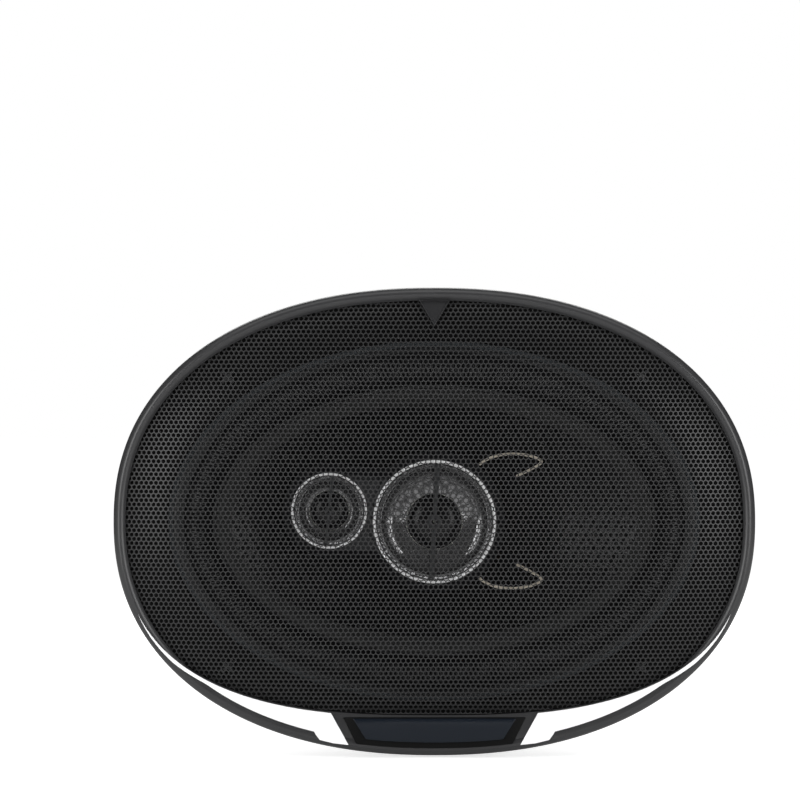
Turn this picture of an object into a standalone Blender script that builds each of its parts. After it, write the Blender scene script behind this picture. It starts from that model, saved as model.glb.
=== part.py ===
"""Oval three-way coaxial car speaker with its snap-on grille.

Metres, +Z up, +X along the long side. The speaker faces -Y. The origin is on the speaker's
axis in the mounting plane, which is the rear face of the flange. A height h is counted
forwards from that plane, so a point at height h lies at y = -h.
"""

import math

import bmesh
import bpy
from mathutils import Euler, Matrix, Vector

MM = 0.001
GAP = 0.3

# Flange and basket (millimetres)
OVAL = (117.3, 80.6)
EAR_OUTLINE = [
    (117.3, 0.0), (115.6, 12.0), (110.6, 27.0), (103.6, 43.5), (95.6, 59.8),
    (91.3, 65.8), (85.0, 69.9), (77.5, 71.7), (41.0, 77.2), (0.0, 80.6),
]
CUT_OUT = (109.0, 74.0)
EAR_HEIGHT = 1.6
LAND_HEIGHT = 2.4
PAD_HEIGHT = 1.0
SLOT_AT = (84.0, 60.5)
SLOT_SIZE = (9.2, 6.3)
SLOT_ANGLE = 55.0
PAD_WIDTH = 11.4
NOTCH_SIZE = (3.0, 4.7)
SHEET = 1.5
CUP_RADIUS = 50.0
CUP_TOP = -36.0
BASKET_FLOOR = -50.0
WINDOW_COUNT = 8

# Cone and surround
GASKET_OUTER = (110.2, 73.7)
GASKET_INNER = (105.5, 71.2)
SURROUND_CREST = (99.5, 62.9)
CONE_RIM = (92.5, 56.2)
CONE_EDGE = (86.0, 49.3)
CONE_DEPTH = 31.0
SKIN = 0.8

# Motor
POLE_RADIUS = 15.5
FORMER_INNER = 16.0
FORMER_OUTER = 16.35
COIL_OUTER = 17.2
PLATE_BORE = 17.6
PLATE_RADIUS = 47.0
MAGNET_RADIUS = 50.0
PLATE_THICK = 5.0
MAGNET_THICK = 16.0
SPIDER_HEIGHT = -38.5
POST_RADIUS = 5.0
POST_SCREW_RADIUS = 2.4

# Tweeter pod
POD_FRONT = 11.5
POD_EDGE = 9.0
POD_REAR = -2.0
POD_SLOPE = 3.6
MID_AT = (0.0, 0.0)
TWEETER_AT = (-44.3, 4.6)
MID_LOBE = 30.0
TWEETER_LOBE = 20.0
WAIST_LOBE = 18.6
MID_RING = (24.6, 26.0)
TWEETER_RING = (14.9, 16.0)

# Leads from the pod to the eyelets on the cone, and on to the terminals
EYELET_AT = (31.6, 17.4)
LEAD_RADIUS = 0.65

# Grille
GRILLE_OUTLINE = (135.3, 98.6, 2.23)
GRILLE_RIM = (131.0, 94.0, 2.23)
GRILLE_LOWER = (131.0, 81.6, 2.7)
RIM_HEIGHT = 9.4
BASE_OPENING = (112.4, 76.2)
BASE_LOW = 4.2
BASE_HIGH = 5.1
SHELF_HEIGHT = 7.6
DOME_HEIGHT = 18.5
MESH_THICK = 1.0
WALL = 2.2

TURN_STEPS = 32

COLOURS = {
    "painted_steel": ((0.07, 0.072, 0.076), 0.5, 0.3),
    "gasket": ((0.045, 0.046, 0.048), 0.6, 0.0),
    "surround_rubber": ((0.02, 0.02, 0.021), 0.55, 0.0),
    "cone_poly": ((0.016, 0.016, 0.017), 0.45, 0.0),
    "pod_plastic": ((0.022, 0.022, 0.024), 0.5, 0.0),
    "waist_grey": ((0.075, 0.075, 0.08), 0.45, 0.0),
    "silver": ((0.82, 0.82, 0.83), 0.15, 1.0),
    "gloss_black": ((0.006, 0.006, 0.007), 0.08, 0.0),
    "dome_film": ((0.012, 0.012, 0.013), 0.2, 0.0),
    "ferrite": ((0.05, 0.05, 0.052), 0.7, 0.0),
    "zinc_steel": ((0.5, 0.5, 0.48), 0.35, 1.0),
    "copper": ((0.6, 0.28, 0.12), 0.35, 1.0),
    "kapton": ((0.35, 0.2, 0.06), 0.4, 0.0),
    "spider_cloth": ((0.45, 0.32, 0.12), 0.9, 0.0),
    "lead_braid": ((0.75, 0.66, 0.55), 0.6, 0.2),
    "glue": ((0.008, 0.008, 0.009), 0.3, 0.0),
    "fibre_board": ((0.18, 0.08, 0.03), 0.8, 0.0),
    "brass": ((0.7, 0.52, 0.2), 0.3, 1.0),
    "capacitor_sleeve": ((0.02, 0.05, 0.16), 0.35, 0.0),
    "grille_plastic": ((0.03, 0.03, 0.032), 0.45, 0.0),
    "mesh_steel": ((0.05, 0.05, 0.05), 0.5, 0.4),
    "accent_silver": ((0.8, 0.8, 0.82), 0.25, 0.8),
    "badge_gloss": ((0.01, 0.013, 0.02), 0.08, 0.0),
}


def clear_scene():
    for item in list(bpy.data.objects):
        bpy.data.objects.remove(item, do_unlink=True)


clear_scene()
speaker = bpy.data.collections.new("coaxial_car_speaker")
cutters = bpy.data.collections.new("cutters")
bpy.context.scene.collection.children.link(speaker)
bpy.context.scene.collection.children.link(cutters)


def make_material(name):
    colour, roughness, metallic = COLOURS[name]
    material = bpy.data.materials.new(name)
    material.use_nodes = True
    shader = material.node_tree.nodes["Principled BSDF"]
    shader.inputs["Base Color"].default_value = (*colour, 1.0)
    shader.inputs["Roughness"].default_value = roughness
    shader.inputs["Metallic"].default_value = metallic
    return material


MATERIALS = {name: make_material(name) for name in COLOURS}


def add_object(name, data, material=None, smooth=False):
    """Puts a named object in the speaker's collection, or in the cutters' without a material."""
    item = bpy.data.objects.new(name, data)
    if material is None:
        cutters.objects.link(item)
        item.hide_render = True
        item.display_type = "WIRE"
    else:
        speaker.objects.link(item)
        item.data.materials.append(MATERIALS[material])
    if smooth:
        data.shade_smooth()
        data.set_sharp_from_angle(angle=math.radians(35))
    return item


def cut(item, cutter, operation="DIFFERENCE"):
    boolean = item.modifiers.new(cutter.name, "BOOLEAN")
    boolean.operation = operation
    boolean.object = cutter
    boolean.solver = "EXACT"


# Outlines: each is a function from an angle to a radius, all in millimetres.


def oval(half_width, half_height, power=2.0):
    def radius(angle):
        across = abs(math.cos(angle) / half_width) ** power
        up = abs(math.sin(angle) / half_height) ** power
        return (across + up) ** (-1.0 / power)

    return radius


def circle(size):
    return lambda angle: size


def grown(outline, amount):
    return lambda angle: outline(angle) + amount


def spline_point(p0, p1, p2, p3, t):
    """One point of a Catmull-Rom curve between p1 and p2."""
    return tuple(
        0.5 * (2 * b + (c - a) * t + (2 * a - 5 * b + 4 * c - d) * t**2 + (3 * b - a - 3 * c + d) * t**3)
        for a, b, c, d in zip(p0, p1, p2, p3)
    )


def smooth_line(points, steps):
    """A smooth open curve through the points."""
    ends = [tuple(2 * a - b for a, b in zip(points[0], points[1]))]
    ends += list(points) + [tuple(2 * a - b for a, b in zip(points[-1], points[-2]))]
    line = []
    for k in range(1, len(ends) - 2):
        line += [spline_point(*ends[k - 1 : k + 3], i / steps) for i in range(steps)]
    return line + [tuple(points[-1])]


def quarter_outline(points):
    """An outline that repeats one quadrant's smooth curve four times."""
    before = [(points[1][0], -points[1][1])]
    after = [(-points[-2][0], points[-2][1])]
    full = before + list(points) + after
    line = []
    for k in range(1, len(full) - 2):
        line += [spline_point(*full[k - 1 : k + 3], i / 8) for i in range(8)]
    line.append(points[-1])
    polar = [(math.atan2(z, x), math.hypot(x, z)) for x, z in line]

    def radius(angle):
        first = math.atan2(abs(math.sin(angle)), abs(math.cos(angle)))
        for (a0, r0), (a1, r1) in zip(polar, polar[1:]):
            if a0 <= first <= a1:
                return r0 + (r1 - r0) * (first - a0) / max(a1 - a0, 1e-9)
        return polar[-1][1] if first > polar[-1][0] else polar[0][1]

    return radius


def grille_opening(angle):
    """The grille mesh's edge: the lower half is flatter, to leave room for the trim."""
    rim = oval(*GRILLE_RIM)(angle)
    return rim if math.sin(angle) >= 0 else min(rim, oval(*GRILLE_LOWER)(angle))


def ring_points(outline, height, count, centre=(0.0, 0.0), stretch=0.7):
    """The points of one closed loop, spread evenly along an oval of that stretch."""
    points = []
    for i in range(count):
        turn = 2 * math.pi * i / count
        angle = math.atan2(stretch * math.sin(turn), math.cos(turn))
        size = outline(angle)
        x = centre[0] + size * math.cos(angle)
        z = centre[1] + size * math.sin(angle)
        points.append((x * MM, -height * MM, z * MM))
    return points


def loft(name, loops, material, ends="join", smooth=True):
    """Joins loops of equal length. ends is join, for a ring, or cap, for a closed body."""
    mesh = bmesh.new()
    rows = [[mesh.verts.new(p) for p in loop] for loop in loops]
    count = len(rows[0])
    pairs = list(zip(rows, rows[1:]))
    if ends == "join":
        pairs.append((rows[-1], rows[0]))
    for low, high in pairs:
        for i in range(count):
            j = (i + 1) % count
            mesh.faces.new((low[i], low[j], high[j], high[i]))
    if ends == "cap":
        mesh.faces.new(reversed(rows[0]))
        mesh.faces.new(rows[-1])
    bmesh.ops.recalc_face_normals(mesh, faces=mesh.faces)
    if mesh.calc_volume(signed=True) < 0:
        bmesh.ops.reverse_faces(mesh, faces=mesh.faces)
    data = bpy.data.meshes.new(name)
    mesh.to_mesh(data)
    mesh.free()
    return add_object(name, data, material, smooth)


def oval_loft(name, profile, material, count=48, ends="join", centre=(0.0, 0.0)):
    loops = [ring_points(outline, height, count, centre) for outline, height in profile]
    return loft(name, loops, material, ends)


def turned(name, profile, material, centre=(0.0, 0.0), steps=TURN_STEPS, solid=False):
    """A profile of (radius, height), outer side first and downwards, turned round the axis."""
    data = bpy.data.meshes.new(name)
    points = [(r * MM, 0.0, h * MM) for r, h in profile]
    edges = [(i, i + 1) for i in range(len(points) - 1)]
    if not solid:
        edges.append((len(points) - 1, 0))
    data.from_pydata(points, edges, [])
    item = add_object(name, data, material)
    item.location = (centre[0] * MM, 0.0, centre[1] * MM)
    item.rotation_euler = (math.radians(90), 0.0, 0.0)
    screw = item.modifiers.new("turn", "SCREW")
    screw.axis = "Z"
    screw.angle = math.tau
    screw.steps = steps
    screw.render_steps = steps
    screw.use_merge_vertices = True
    screw.merge_threshold = 0.00001
    screw.use_smooth_shade = True
    return item


def block(name, size, place, material, turn=(0.0, 0.0, 0.0), bevel=0.0):
    """A box: size across X, depth along Y and height along Z, centred on (x, h, z)."""
    data = bpy.data.meshes.new(name)
    mesh = bmesh.new()
    bmesh.ops.create_cube(mesh, size=1.0)
    bmesh.ops.scale(mesh, vec=[s * MM for s in size], verts=mesh.verts)
    mesh.to_mesh(data)
    mesh.free()
    item = add_object(name, data, material)
    item.location = (place[0] * MM, -place[1] * MM, place[2] * MM)
    item.rotation_euler = Euler([math.radians(a) for a in turn])
    if bevel:
        edge = item.modifiers.new("edges", "BEVEL")
        edge.width = bevel * MM
        edge.segments = 1
        edge.limit_method = "ANGLE"
    return item


def prism(name, outline, low, high, material, smooth=False):
    """A flat outline of (x, z) points between two heights."""
    loops = [[(x * MM, -h * MM, z * MM) for x, z in outline] for h in (low, high)]
    return loft(name, loops, material, ends="cap", smooth=smooth)


def tube(name, points, radius, material):
    """A round wire along (x, h, z) points."""
    curve = bpy.data.curves.new(name, "CURVE")
    curve.dimensions = "3D"
    curve.bevel_depth = radius * MM
    curve.bevel_resolution = 2
    curve.use_fill_caps = True
    spline = curve.splines.new("POLY")
    spline.points.add(len(points) - 1)
    for target, (x, h, z) in zip(spline.points, points):
        target.co = (x * MM, -h * MM, z * MM, 1.0)
    return add_object(name, curve, material)


def corners():
    return [(sx, sz) for sx in (1, -1) for sz in (1, -1)]


# The basket: flange with four ears, sloping wall with windows, and the cup for the motor.

flange_outline = quarter_outline(EAR_OUTLINE)


def slot_shape(length, width, centre, angle, reach=0.0):
    """A rounded slot's outline. reach lengthens its outer end."""
    points = []
    half = (length - width) / 2
    along = Vector((math.cos(angle), math.sin(angle)))
    aside = Vector((-along.y, along.x))
    for end, start in ((half + reach, -90), (-half, 90)):
        for k in range(7):
            turn = math.radians(start + 30 * k)
            offset = along * (end + width / 2 * math.cos(turn)) + aside * (width / 2 * math.sin(turn))
            points.append((centre[0] + offset.x, centre[1] + offset.y))
    return points


def slot_angle(sx, sz):
    """The direction of a slot, pointing outwards from the ear."""
    return math.atan2(sz * math.sin(math.radians(SLOT_ANGLE)), sx * math.cos(math.radians(SLOT_ANGLE)))


def make_basket():
    land = oval(OVAL[0] - 0.6, OVAL[1] - 0.6)
    wall_top = oval(104.0, 70.6)

    # The ears never come inside the oval land, so both meet at the ends of the flange.
    def ear(inset, clear_of_land):
        return lambda angle: max(flange_outline(angle) - inset, land(angle) + clear_of_land)

    profile = [
        (ear(0.4, 1.0), 0.0),
        (oval(*CUT_OUT), 0.0),
        (oval(CUT_OUT[0] - 2, CUT_OUT[1] - 2), -2.5),
        (oval(90.0, 62.0), -20.0),
        (circle(CUP_RADIUS + SHEET), CUP_TOP - SHEET),
        (circle(CUP_RADIUS + SHEET - 1.0), BASKET_FLOOR),
        (circle(24.0), BASKET_FLOOR),
        (circle(24.0), BASKET_FLOOR + SHEET),
        (circle(CUP_RADIUS - 5), BASKET_FLOOR + SHEET),
        (circle(CUP_RADIUS - 4), SPIDER_HEIGHT - 1.2),
        (circle(CUP_RADIUS - 0.5), SPIDER_HEIGHT - 1.2),
        (circle(CUP_RADIUS), CUP_TOP),
        (oval(88.3, 60.3), -20.0 + 0.9),
        (wall_top, -2.0),
        (wall_top, LAND_HEIGHT),
        (land, LAND_HEIGHT),
        (grown(land, 0.9), EAR_HEIGHT),
        (ear(1.8, 1.0), EAR_HEIGHT),
        (ear(0.0, 1.4), 0.5),
    ]
    basket = oval_loft("basket", profile, "painted_steel", count=56)
    for sx, sz in corners():
        centre = (sx * SLOT_AT[0], sz * SLOT_AT[1])
        angle = slot_angle(sx, sz)
        pad = slot_shape(17.0, PAD_WIDTH, centre, angle, reach=12.0)
        cut(basket, prism("pad_cutter", pad, PAD_HEIGHT, LAND_HEIGHT + 2, None))
        slot = slot_shape(*SLOT_SIZE, centre, angle)
        cut(basket, prism("slot_cutter", slot, -3.0, LAND_HEIGHT + 2, None))
    for side in (1, -1):
        notch = (2 * NOTCH_SIZE[0], 12.0, NOTCH_SIZE[1])
        cut(basket, block("notch_cutter", notch, (side * (OVAL[0] + 1.0), 0.0, 0.0), None))
    for k in range(WINDOW_COUNT):
        cut(basket, window_cutter(k))
    return basket


def window_cutter(index):
    """A wedge that opens the basket wall between two spokes."""
    middle = math.tau * (index + 0.5) / WINDOW_COUNT
    half = 0.62 * math.pi / WINDOW_COUNT
    loops = []
    for height, low, high in ((-11.0, 60.0, 125.0), (-31.0, 52.0, 100.0)):
        loop = []
        for size, side in ((low, -1), (high, -1), (high, 1), (low, 1)):
            turn = middle + side * half
            loop.append((size * math.cos(turn) * MM, -height * MM, 0.72 * size * math.sin(turn) * MM))
        loops.append(loop)
    return loft("window_cutter", loops, None, ends="cap", smooth=False)


basket = make_basket()

oval_loft(
    "gasket_ring",
    [
        (oval(*GASKET_OUTER), LAND_HEIGHT + GAP),
        (oval(*GASKET_OUTER), 4.6),
        (oval(GASKET_OUTER[0] - 1, GASKET_OUTER[1] - 0.6), 5.2),
        (oval(GASKET_INNER[0] + 0.6, GASKET_INNER[1] + 0.3), 5.2),
        (oval(*GASKET_INNER), 4.6),
        (oval(*GASKET_INNER), 3.8),
        (oval(GASKET_OUTER[0] - 1.4, GASKET_OUTER[1] - 0.6), 3.8),
        (oval(GASKET_OUTER[0] - 1.4, GASKET_OUTER[1] - 0.6), LAND_HEIGHT + GAP),
    ],
    "gasket",
)


# The moving cone with its surround and spider.


def surround_profile():
    """The roll's front skin outside to inside, then its back skin inside to outside."""
    lip = (GASKET_OUTER[0] - 1.9, GASKET_OUTER[1] - 1.0)
    front = [(lip, 3.4), ((104.6, 70.0), 3.4), ((102.4, 67.0), 7.0), (SURROUND_CREST, 8.4)]
    front += [((96.4, 59.6), 6.6), ((94.6, 58.1), 2.2), (CONE_RIM, 1.4)]
    back = [((size[0], size[1]), height - 0.6) for size, height in reversed(front)]
    return [(oval(*size), height) for size, height in front + back]


oval_loft("surround", surround_profile(), "surround_rubber", count=40)


def cone_skin(shift):
    """The cone's front skin from rim to neck. shift moves it along the axis."""
    rim = (CONE_RIM[0] - GAP, CONE_RIM[1] - GAP)
    stations = [(oval(*rim), 1.4), (oval(*CONE_EDGE), -0.6)]
    stations += [(cone_outline(part), cone_height(part)) for part in (0.5, 1.0)]
    return [(outline, height + shift) for outline, height in stations]


def cone_outline(part):
    """The outline part of the way from the cone's edge to its neck."""
    edge = oval(*CONE_EDGE)
    neck = FORMER_OUTER + GAP
    return lambda angle: edge(angle) + (neck - edge(angle)) * part


def cone_height(part):
    return -0.6 + (-CONE_DEPTH + 0.6) * part


cone_front = cone_skin(0.0)
cone_back = list(reversed(cone_skin(-SKIN)))
oval_loft("cone", cone_front + cone_back, "cone_poly", count=40)

turned(
    "voice_coil_former",
    [(FORMER_OUTER, -28.5), (FORMER_OUTER, -58.5), (FORMER_INNER, -58.5), (FORMER_INNER, -28.5)],
    "kapton",
)
turned(
    "voice_coil",
    [(COIL_OUTER, -46.8), (COIL_OUTER, -58.8), (FORMER_OUTER + GAP, -58.8), (FORMER_OUTER + GAP, -46.8)],
    "copper",
)


def spider_profile():
    """Soft waves between the former and the basket's ledge."""
    inner = FORMER_OUTER + GAP
    outer = CUP_RADIUS - 1.0
    bends = 8
    front = []
    for k in range(bends + 1):
        size = outer + (inner - outer) * k / bends
        lift = 0.0 if k in (0, 1, bends) else 1.6 * (-1) ** k
        front.append((size, SPIDER_HEIGHT + lift))
    back = [(size, height - 0.6) for size, height in reversed(front)]
    return front[::-1] + back[::-1]


turned("spider", spider_profile(), "spider_cloth", steps=24)


def cone_point(x, z, above):
    """A point that far above the cone's front skin."""
    angle = math.atan2(z, x)
    edge = oval(*CONE_EDGE)(angle)
    neck = FORMER_OUTER + GAP
    part = (edge - math.hypot(x, z)) / (edge - neck)
    return (x, cone_height(part) + above, z)


def make_eyelet(name, side):
    """A dot of glue over the riveted lead, standing square on the cone."""
    x, z = EYELET_AT[0], side * EYELET_AT[1]
    centre = Vector(cone_point(x, z, 0.0))
    right = Vector(cone_point(x + 1, z, 0.0)) - centre
    up = Vector(cone_point(x, z + 1, 0.0)) - centre
    normal = right.cross(up)
    if normal.y < 0:
        normal = -normal
    profile = [(0.0, 2.4), (1.8, 2.2), (3.2, 1.4), (3.7, 0.55), (0.0, 0.55)]
    dot = turned(name, profile, "glue", steps=16, solid=True)
    world_normal = Vector((normal.x, -normal.y, normal.z)).normalized()
    dot.rotation_euler = world_normal.to_track_quat("Z", "Y").to_euler()
    dot.location = Vector((centre.x, -centre.y, centre.z)) * MM
    return dot


make_eyelet("eyelet_upper", 1)
make_eyelet("eyelet_lower", -1)


# The motor behind the basket.

front_plate_top = BASKET_FLOOR - GAP
magnet_top = front_plate_top - PLATE_THICK - GAP
back_plate_top = magnet_top - MAGNET_THICK - GAP
back_plate_rear = back_plate_top - PLATE_THICK - 1.0

turned(
    "front_plate",
    [
        (PLATE_RADIUS - 0.6, front_plate_top),
        (PLATE_RADIUS, front_plate_top - 0.6),
        (PLATE_RADIUS, front_plate_top - PLATE_THICK),
        (PLATE_BORE, front_plate_top - PLATE_THICK),
        (PLATE_BORE, front_plate_top),
    ],
    "zinc_steel",
    steps=40,
)
turned(
    "ferrite_magnet",
    [
        (MAGNET_RADIUS - 1, magnet_top),
        (MAGNET_RADIUS, magnet_top - 1),
        (MAGNET_RADIUS, magnet_top - MAGNET_THICK + 1),
        (MAGNET_RADIUS - 1, magnet_top - MAGNET_THICK),
        (24.0, magnet_top - MAGNET_THICK),
        (24.0, magnet_top),
    ],
    "ferrite",
    steps=40,
)
turned(
    "back_plate_and_pole",
    [
        (POLE_RADIUS - 0.5, -49.0),
        (POLE_RADIUS, -49.5),
        (POLE_RADIUS, back_plate_top),
        (PLATE_RADIUS - 0.8, back_plate_top),
        (PLATE_RADIUS, back_plate_top - 0.8),
        (PLATE_RADIUS, back_plate_rear + 1.5),
        (PLATE_RADIUS - 1.5, back_plate_rear),
        (POST_SCREW_RADIUS + GAP, back_plate_rear),
        (POST_SCREW_RADIUS + GAP, -49.0),
    ],
    "zinc_steel",
    steps=40,
)
turned(
    "pod_post",
    [
        (0.0, POD_REAR - GAP),
        (POST_RADIUS, POD_REAR - GAP),
        (POST_RADIUS, -46.5),
        (POST_RADIUS + 1.5, -47.0),
        (POST_RADIUS + 1.5, -48.7),
        (0.0, -48.7),
    ],
    "zinc_steel",
    steps=20,
    solid=True,
)
turned(
    "post_bolt",
    [
        (0.0, -49.0),
        (POST_SCREW_RADIUS, -49.0),
        (POST_SCREW_RADIUS, back_plate_rear - GAP),
        (4.2, back_plate_rear - GAP),
        (4.2, back_plate_rear - 2.6),
        (3.6, back_plate_rear - 3.0),
        (0.0, back_plate_rear - 3.0),
    ],
    "zinc_steel",
    steps=12,
    solid=True,
)

for k in range(4):
    turn = math.radians(45 + 90 * k)
    place = (38.0 * math.cos(turn), 38.0 * math.sin(turn))
    head = BASKET_FLOOR + SHEET + GAP
    profile = [(0.0, head + 1.2), (2.0, head + 1.0), (2.8, head), (0.0, head)]
    turned(f"motor_rivet_{k + 1}", profile, "zinc_steel", place, steps=12, solid=True)


# The tweeter pod: one housing with two lobes.

POD_MIDDLE = (-22.0, 2.0)


def pod_discs():
    """The discs whose union is the pod's outline: the big lobe and a tapering waist."""
    discs = [(MID_AT, MID_LOBE)]
    for k in range(9):
        part = k / 8
        x = TWEETER_AT[0] + (-8.0 - TWEETER_AT[0]) * part
        z = TWEETER_AT[1] + (2.0 - TWEETER_AT[1]) * part
        discs.append(((x, z), TWEETER_LOBE + (WAIST_LOBE - TWEETER_LOBE) * part))
    return discs


def pod_outline(shrink):
    discs = pod_discs()

    def radius(angle):
        far = 0.0
        direction = Vector((math.cos(angle), math.sin(angle)))
        for (x, z), size in discs:
            to_centre = Vector((x - POD_MIDDLE[0], z - POD_MIDDLE[1]))
            along = to_centre.dot(direction)
            spare = (size - shrink) ** 2 - (to_centre.length_squared - along**2)
            if spare > 0:
                far = max(far, along + math.sqrt(spare))
        return far

    return radius


def make_pod():
    profile = [
        (pod_outline(1.2), POD_REAR),
        (pod_outline(0.0), POD_REAR + 1.2),
        (pod_outline(0.0), POD_EDGE),
        (pod_outline(POD_SLOPE), POD_FRONT),
    ]
    pod = oval_loft("pod_housing", profile, "pod_plastic", 60, "cap", POD_MIDDLE)
    for centre, bore in ((MID_AT, MID_RING[0] - 0.2), (TWEETER_AT, TWEETER_RING[0] - 0.3)):
        well = [(0.0, POD_FRONT + 5), (bore, POD_FRONT + 5), (bore, -0.5), (0.0, -0.5)]
        cut(pod, turned("well_cutter", well, None, centre, steps=40, solid=True))
    return pod


pod = make_pod()


def make_waist_plate():
    """The flat plate between the two rings, cut clear of both."""
    outline = [(-42.0, 18.2), (-42.0, -11.2), (-16.0, -12.4), (-16.0, 17.4)]
    plate = prism("waist_plate", outline, POD_FRONT + GAP, POD_FRONT + 1.1, "waist_grey")
    for centre, ring in ((MID_AT, MID_RING[1]), (TWEETER_AT, TWEETER_RING[1])):
        size = ring + GAP
        bite = [(0.0, POD_FRONT + 5), (size, POD_FRONT + 5), (size, POD_FRONT - 2), (0.0, POD_FRONT - 2)]
        cut(plate, turned("ring_cutter", bite, None, centre, steps=40, solid=True))
    return plate


make_waist_plate()


def make_driver(name, centre, ring, dome, bullet, tilt):
    """One small driver: motor, coil, dome, horn, trim ring and the bridge over it."""
    inner, outer = ring
    horn_outer = inner - 0.5
    magnet = dome + 3.4
    turned(
        f"{name}_magnet",
        [
            (magnet, 4.0), (magnet, -0.2), (0.01, -0.2), (0.01, 4.6), (dome - 1.1, 4.6),
            (dome - 1.1, 0.8), (dome + 0.5, 0.8), (dome + 0.5, 4.0),
        ],
        "zinc_steel",
        centre,
        steps=28,
    )
    turned(
        f"{name}_voice_coil",
        [(dome + 0.1, 4.9), (dome + 0.1, 1.6), (dome - 0.7, 1.6), (dome - 0.7, 4.9)],
        "copper",
        centre,
        steps=28,
    )
    rise = 0.3 * dome
    front = [(dome + 2.0, 5.6), (dome + 1.2, 6.3), (dome + 0.3, 5.8)]
    front += [(dome * math.cos(math.radians(a)), 5.7 + rise * math.sin(math.radians(a))) for a in (25, 55)]
    dome_front = front + [(0.0, 5.7 + rise)]
    dome_back = [(0.0, 5.3 + rise)] + [(r, h - 0.4) for r, h in reversed(front)]
    turned(f"{name}_dome", dome_front[::-1] + dome_back[::-1], "dome_film", centre, steps=24, solid=True)
    throat = dome + 2.4
    turned(
        f"{name}_horn",
        [
            (horn_outer, 11.2), (horn_outer, 9.6), (horn_outer - 0.4 * (horn_outer - throat), 6.6),
            (throat, 5.0), (throat, 6.0), (throat + 0.5 * (horn_outer - throat), 7.8),
            (horn_outer - 1.0, 11.2),
        ],
        "gloss_black",
        centre,
        steps=28,
    )
    turned(
        f"{name}_ring",
        [
            (outer, POD_FRONT + 0.9), (outer, POD_FRONT + GAP), (inner, POD_FRONT + GAP),
            (inner, POD_FRONT + 1.0), (inner + 0.5 * (outer - inner), POD_FRONT + 1.5),
        ],
        "silver",
        centre,
        steps=32,
    )
    bar = block(
        f"{name}_bridge",
        (0.28 * bullet + 0.6, 1.0, 2 * inner - 1.0),
        (centre[0], POD_FRONT + 0.5, centre[1]),
        "pod_plastic",
        turn=(0.0, tilt, 0.0),
    )
    top = POD_FRONT + 1.4
    base = 6.4 + rise
    shape = [(0.45 * bullet, top), (0.9 * bullet, top), (bullet, top - 0.4), (bullet, base + 1.4)]
    shape += [(0.6 * bullet, base + 0.4), (0.0, base + 0.2), (0.0, top - 1.6), (0.45 * bullet, top - 1.6)]
    cut(bar, turned(f"{name}_bullet_joiner", shape[3:] + shape[:3], None, centre, 20), "UNION")
    return bar


make_driver("mid", MID_AT, MID_RING, 9.6, 3.1, 3.0)
make_driver("tweeter", TWEETER_AT, TWEETER_RING, 6.2, 1.9, 5.0)


# Leads: from the pod to the eyelets, and from the eyelets to the terminals.


def make_leads(name, side):
    x, z = EYELET_AT[0], EYELET_AT[1] * side
    front = [
        (20.6, 5.0, side * 25.2), (25.0, 3.8, side * 27.3), (32.0, 0.0, side * 28.4),
        (39.5, -4.0, side * 27.8), (44.6, -7.2, side * 26.0), (45.2, -9.0, side * 24.4),
        cone_point(41.5, side * 22.0, 2.6), cone_point(37.6, side * 20.0, 2.0),
        cone_point(36.3, side * 19.4, 1.7),
    ]
    tube(f"front_lead_{name}", smooth_line(front, 2), LEAD_RADIUS, "lead_braid")
    rear = [
        cone_point(x + 1.0, z, -2.2), cone_point(x + 6.0, z, -5.0), (50.0, -26.5, side * 15.0),
        (62.0, -28.0, side * 13.2), (74.0, -26.5, side * 12.4), (84.0, -21.5, side * 12.2),
        (93.2, -16.4, side * 12.2),
    ]
    tube(f"rear_lead_{name}", smooth_line(rear, 2), LEAD_RADIUS, "lead_braid")


make_leads("upper", 1)
make_leads("lower", -1)

BOARD_TURN = 44.0
BOARD_AT = (96.9, -15.4, 0.0)


def board_block(name, size, offset, material, bevel=0.0):
    """A box in the terminal board's own tilted frame; offset is (outwards, along, z)."""
    turn = Matrix.Rotation(math.radians(BOARD_TURN), 4, "Z")
    shift = turn @ Vector((offset[0], offset[1], offset[2]))
    place = (BOARD_AT[0] + shift.x, BOARD_AT[1] - shift.y, BOARD_AT[2] + shift.z)
    return block(name, size, place, material, turn=(0.0, 0.0, BOARD_TURN), bevel=bevel)


board_block("terminal_board", (1.6, 17.0, 27.0), (0.0, 0.0, 0.0), "fibre_board", bevel=0.2)
for name, side, width in (("positive", 1, 6.3), ("negative", -1, 4.8)):
    foot = board_block(f"terminal_{name}", (0.8, 12.0, width), (1.5, 0.0, side * 8.0), "brass")
    blade = board_block("blade", (11.0, 0.8, width - 0.2), (6.7, 5.0, side * 8.0), None)
    cut(foot, blade, "UNION")

turned(
    "crossover_capacitor",
    [(0.0, 10.0), (4.4, 10.0), (5.0, 9.4), (5.0, -9.4), (4.4, -10.0), (0.0, -10.0)],
    "capacitor_sleeve",
    steps=20,
    solid=True,
)
capacitor = bpy.data.objects["crossover_capacitor"]
capacitor.rotation_euler = (0.0, 0.0, 0.0)
capacitor.location = (57.4 * MM, 41.6 * MM, 0.0)


# The grille: a plastic frame, a domed steel mesh, a badge plaque and two bright strips.

grille_outer = oval(*GRILLE_OUTLINE)
rim_inner = oval(*GRILLE_RIM)

oval_loft(
    "grille_frame",
    [
        (grille_outer, 0.3),
        (grille_outer, 7.0),
        (grown(grille_outer, -3.0), RIM_HEIGHT),
        (grown(rim_inner, 0.0), 9.0),
        (lambda a: min(rim_inner(a) - 0.2, grille_opening(a) + 0.4), SHELF_HEIGHT),
        (grille_opening, SHELF_HEIGHT - 2.0),
        (lambda a: min(grille_outer(a) - WALL - 2.4, grille_opening(a) + 1.6), SHELF_HEIGHT - 2.0),
        (grown(grille_outer, -WALL - 0.6), BASE_HIGH + GAP),
        (grown(grille_outer, -WALL), 0.3),
    ],
    "grille_plastic",
    count=64,
)

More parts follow.
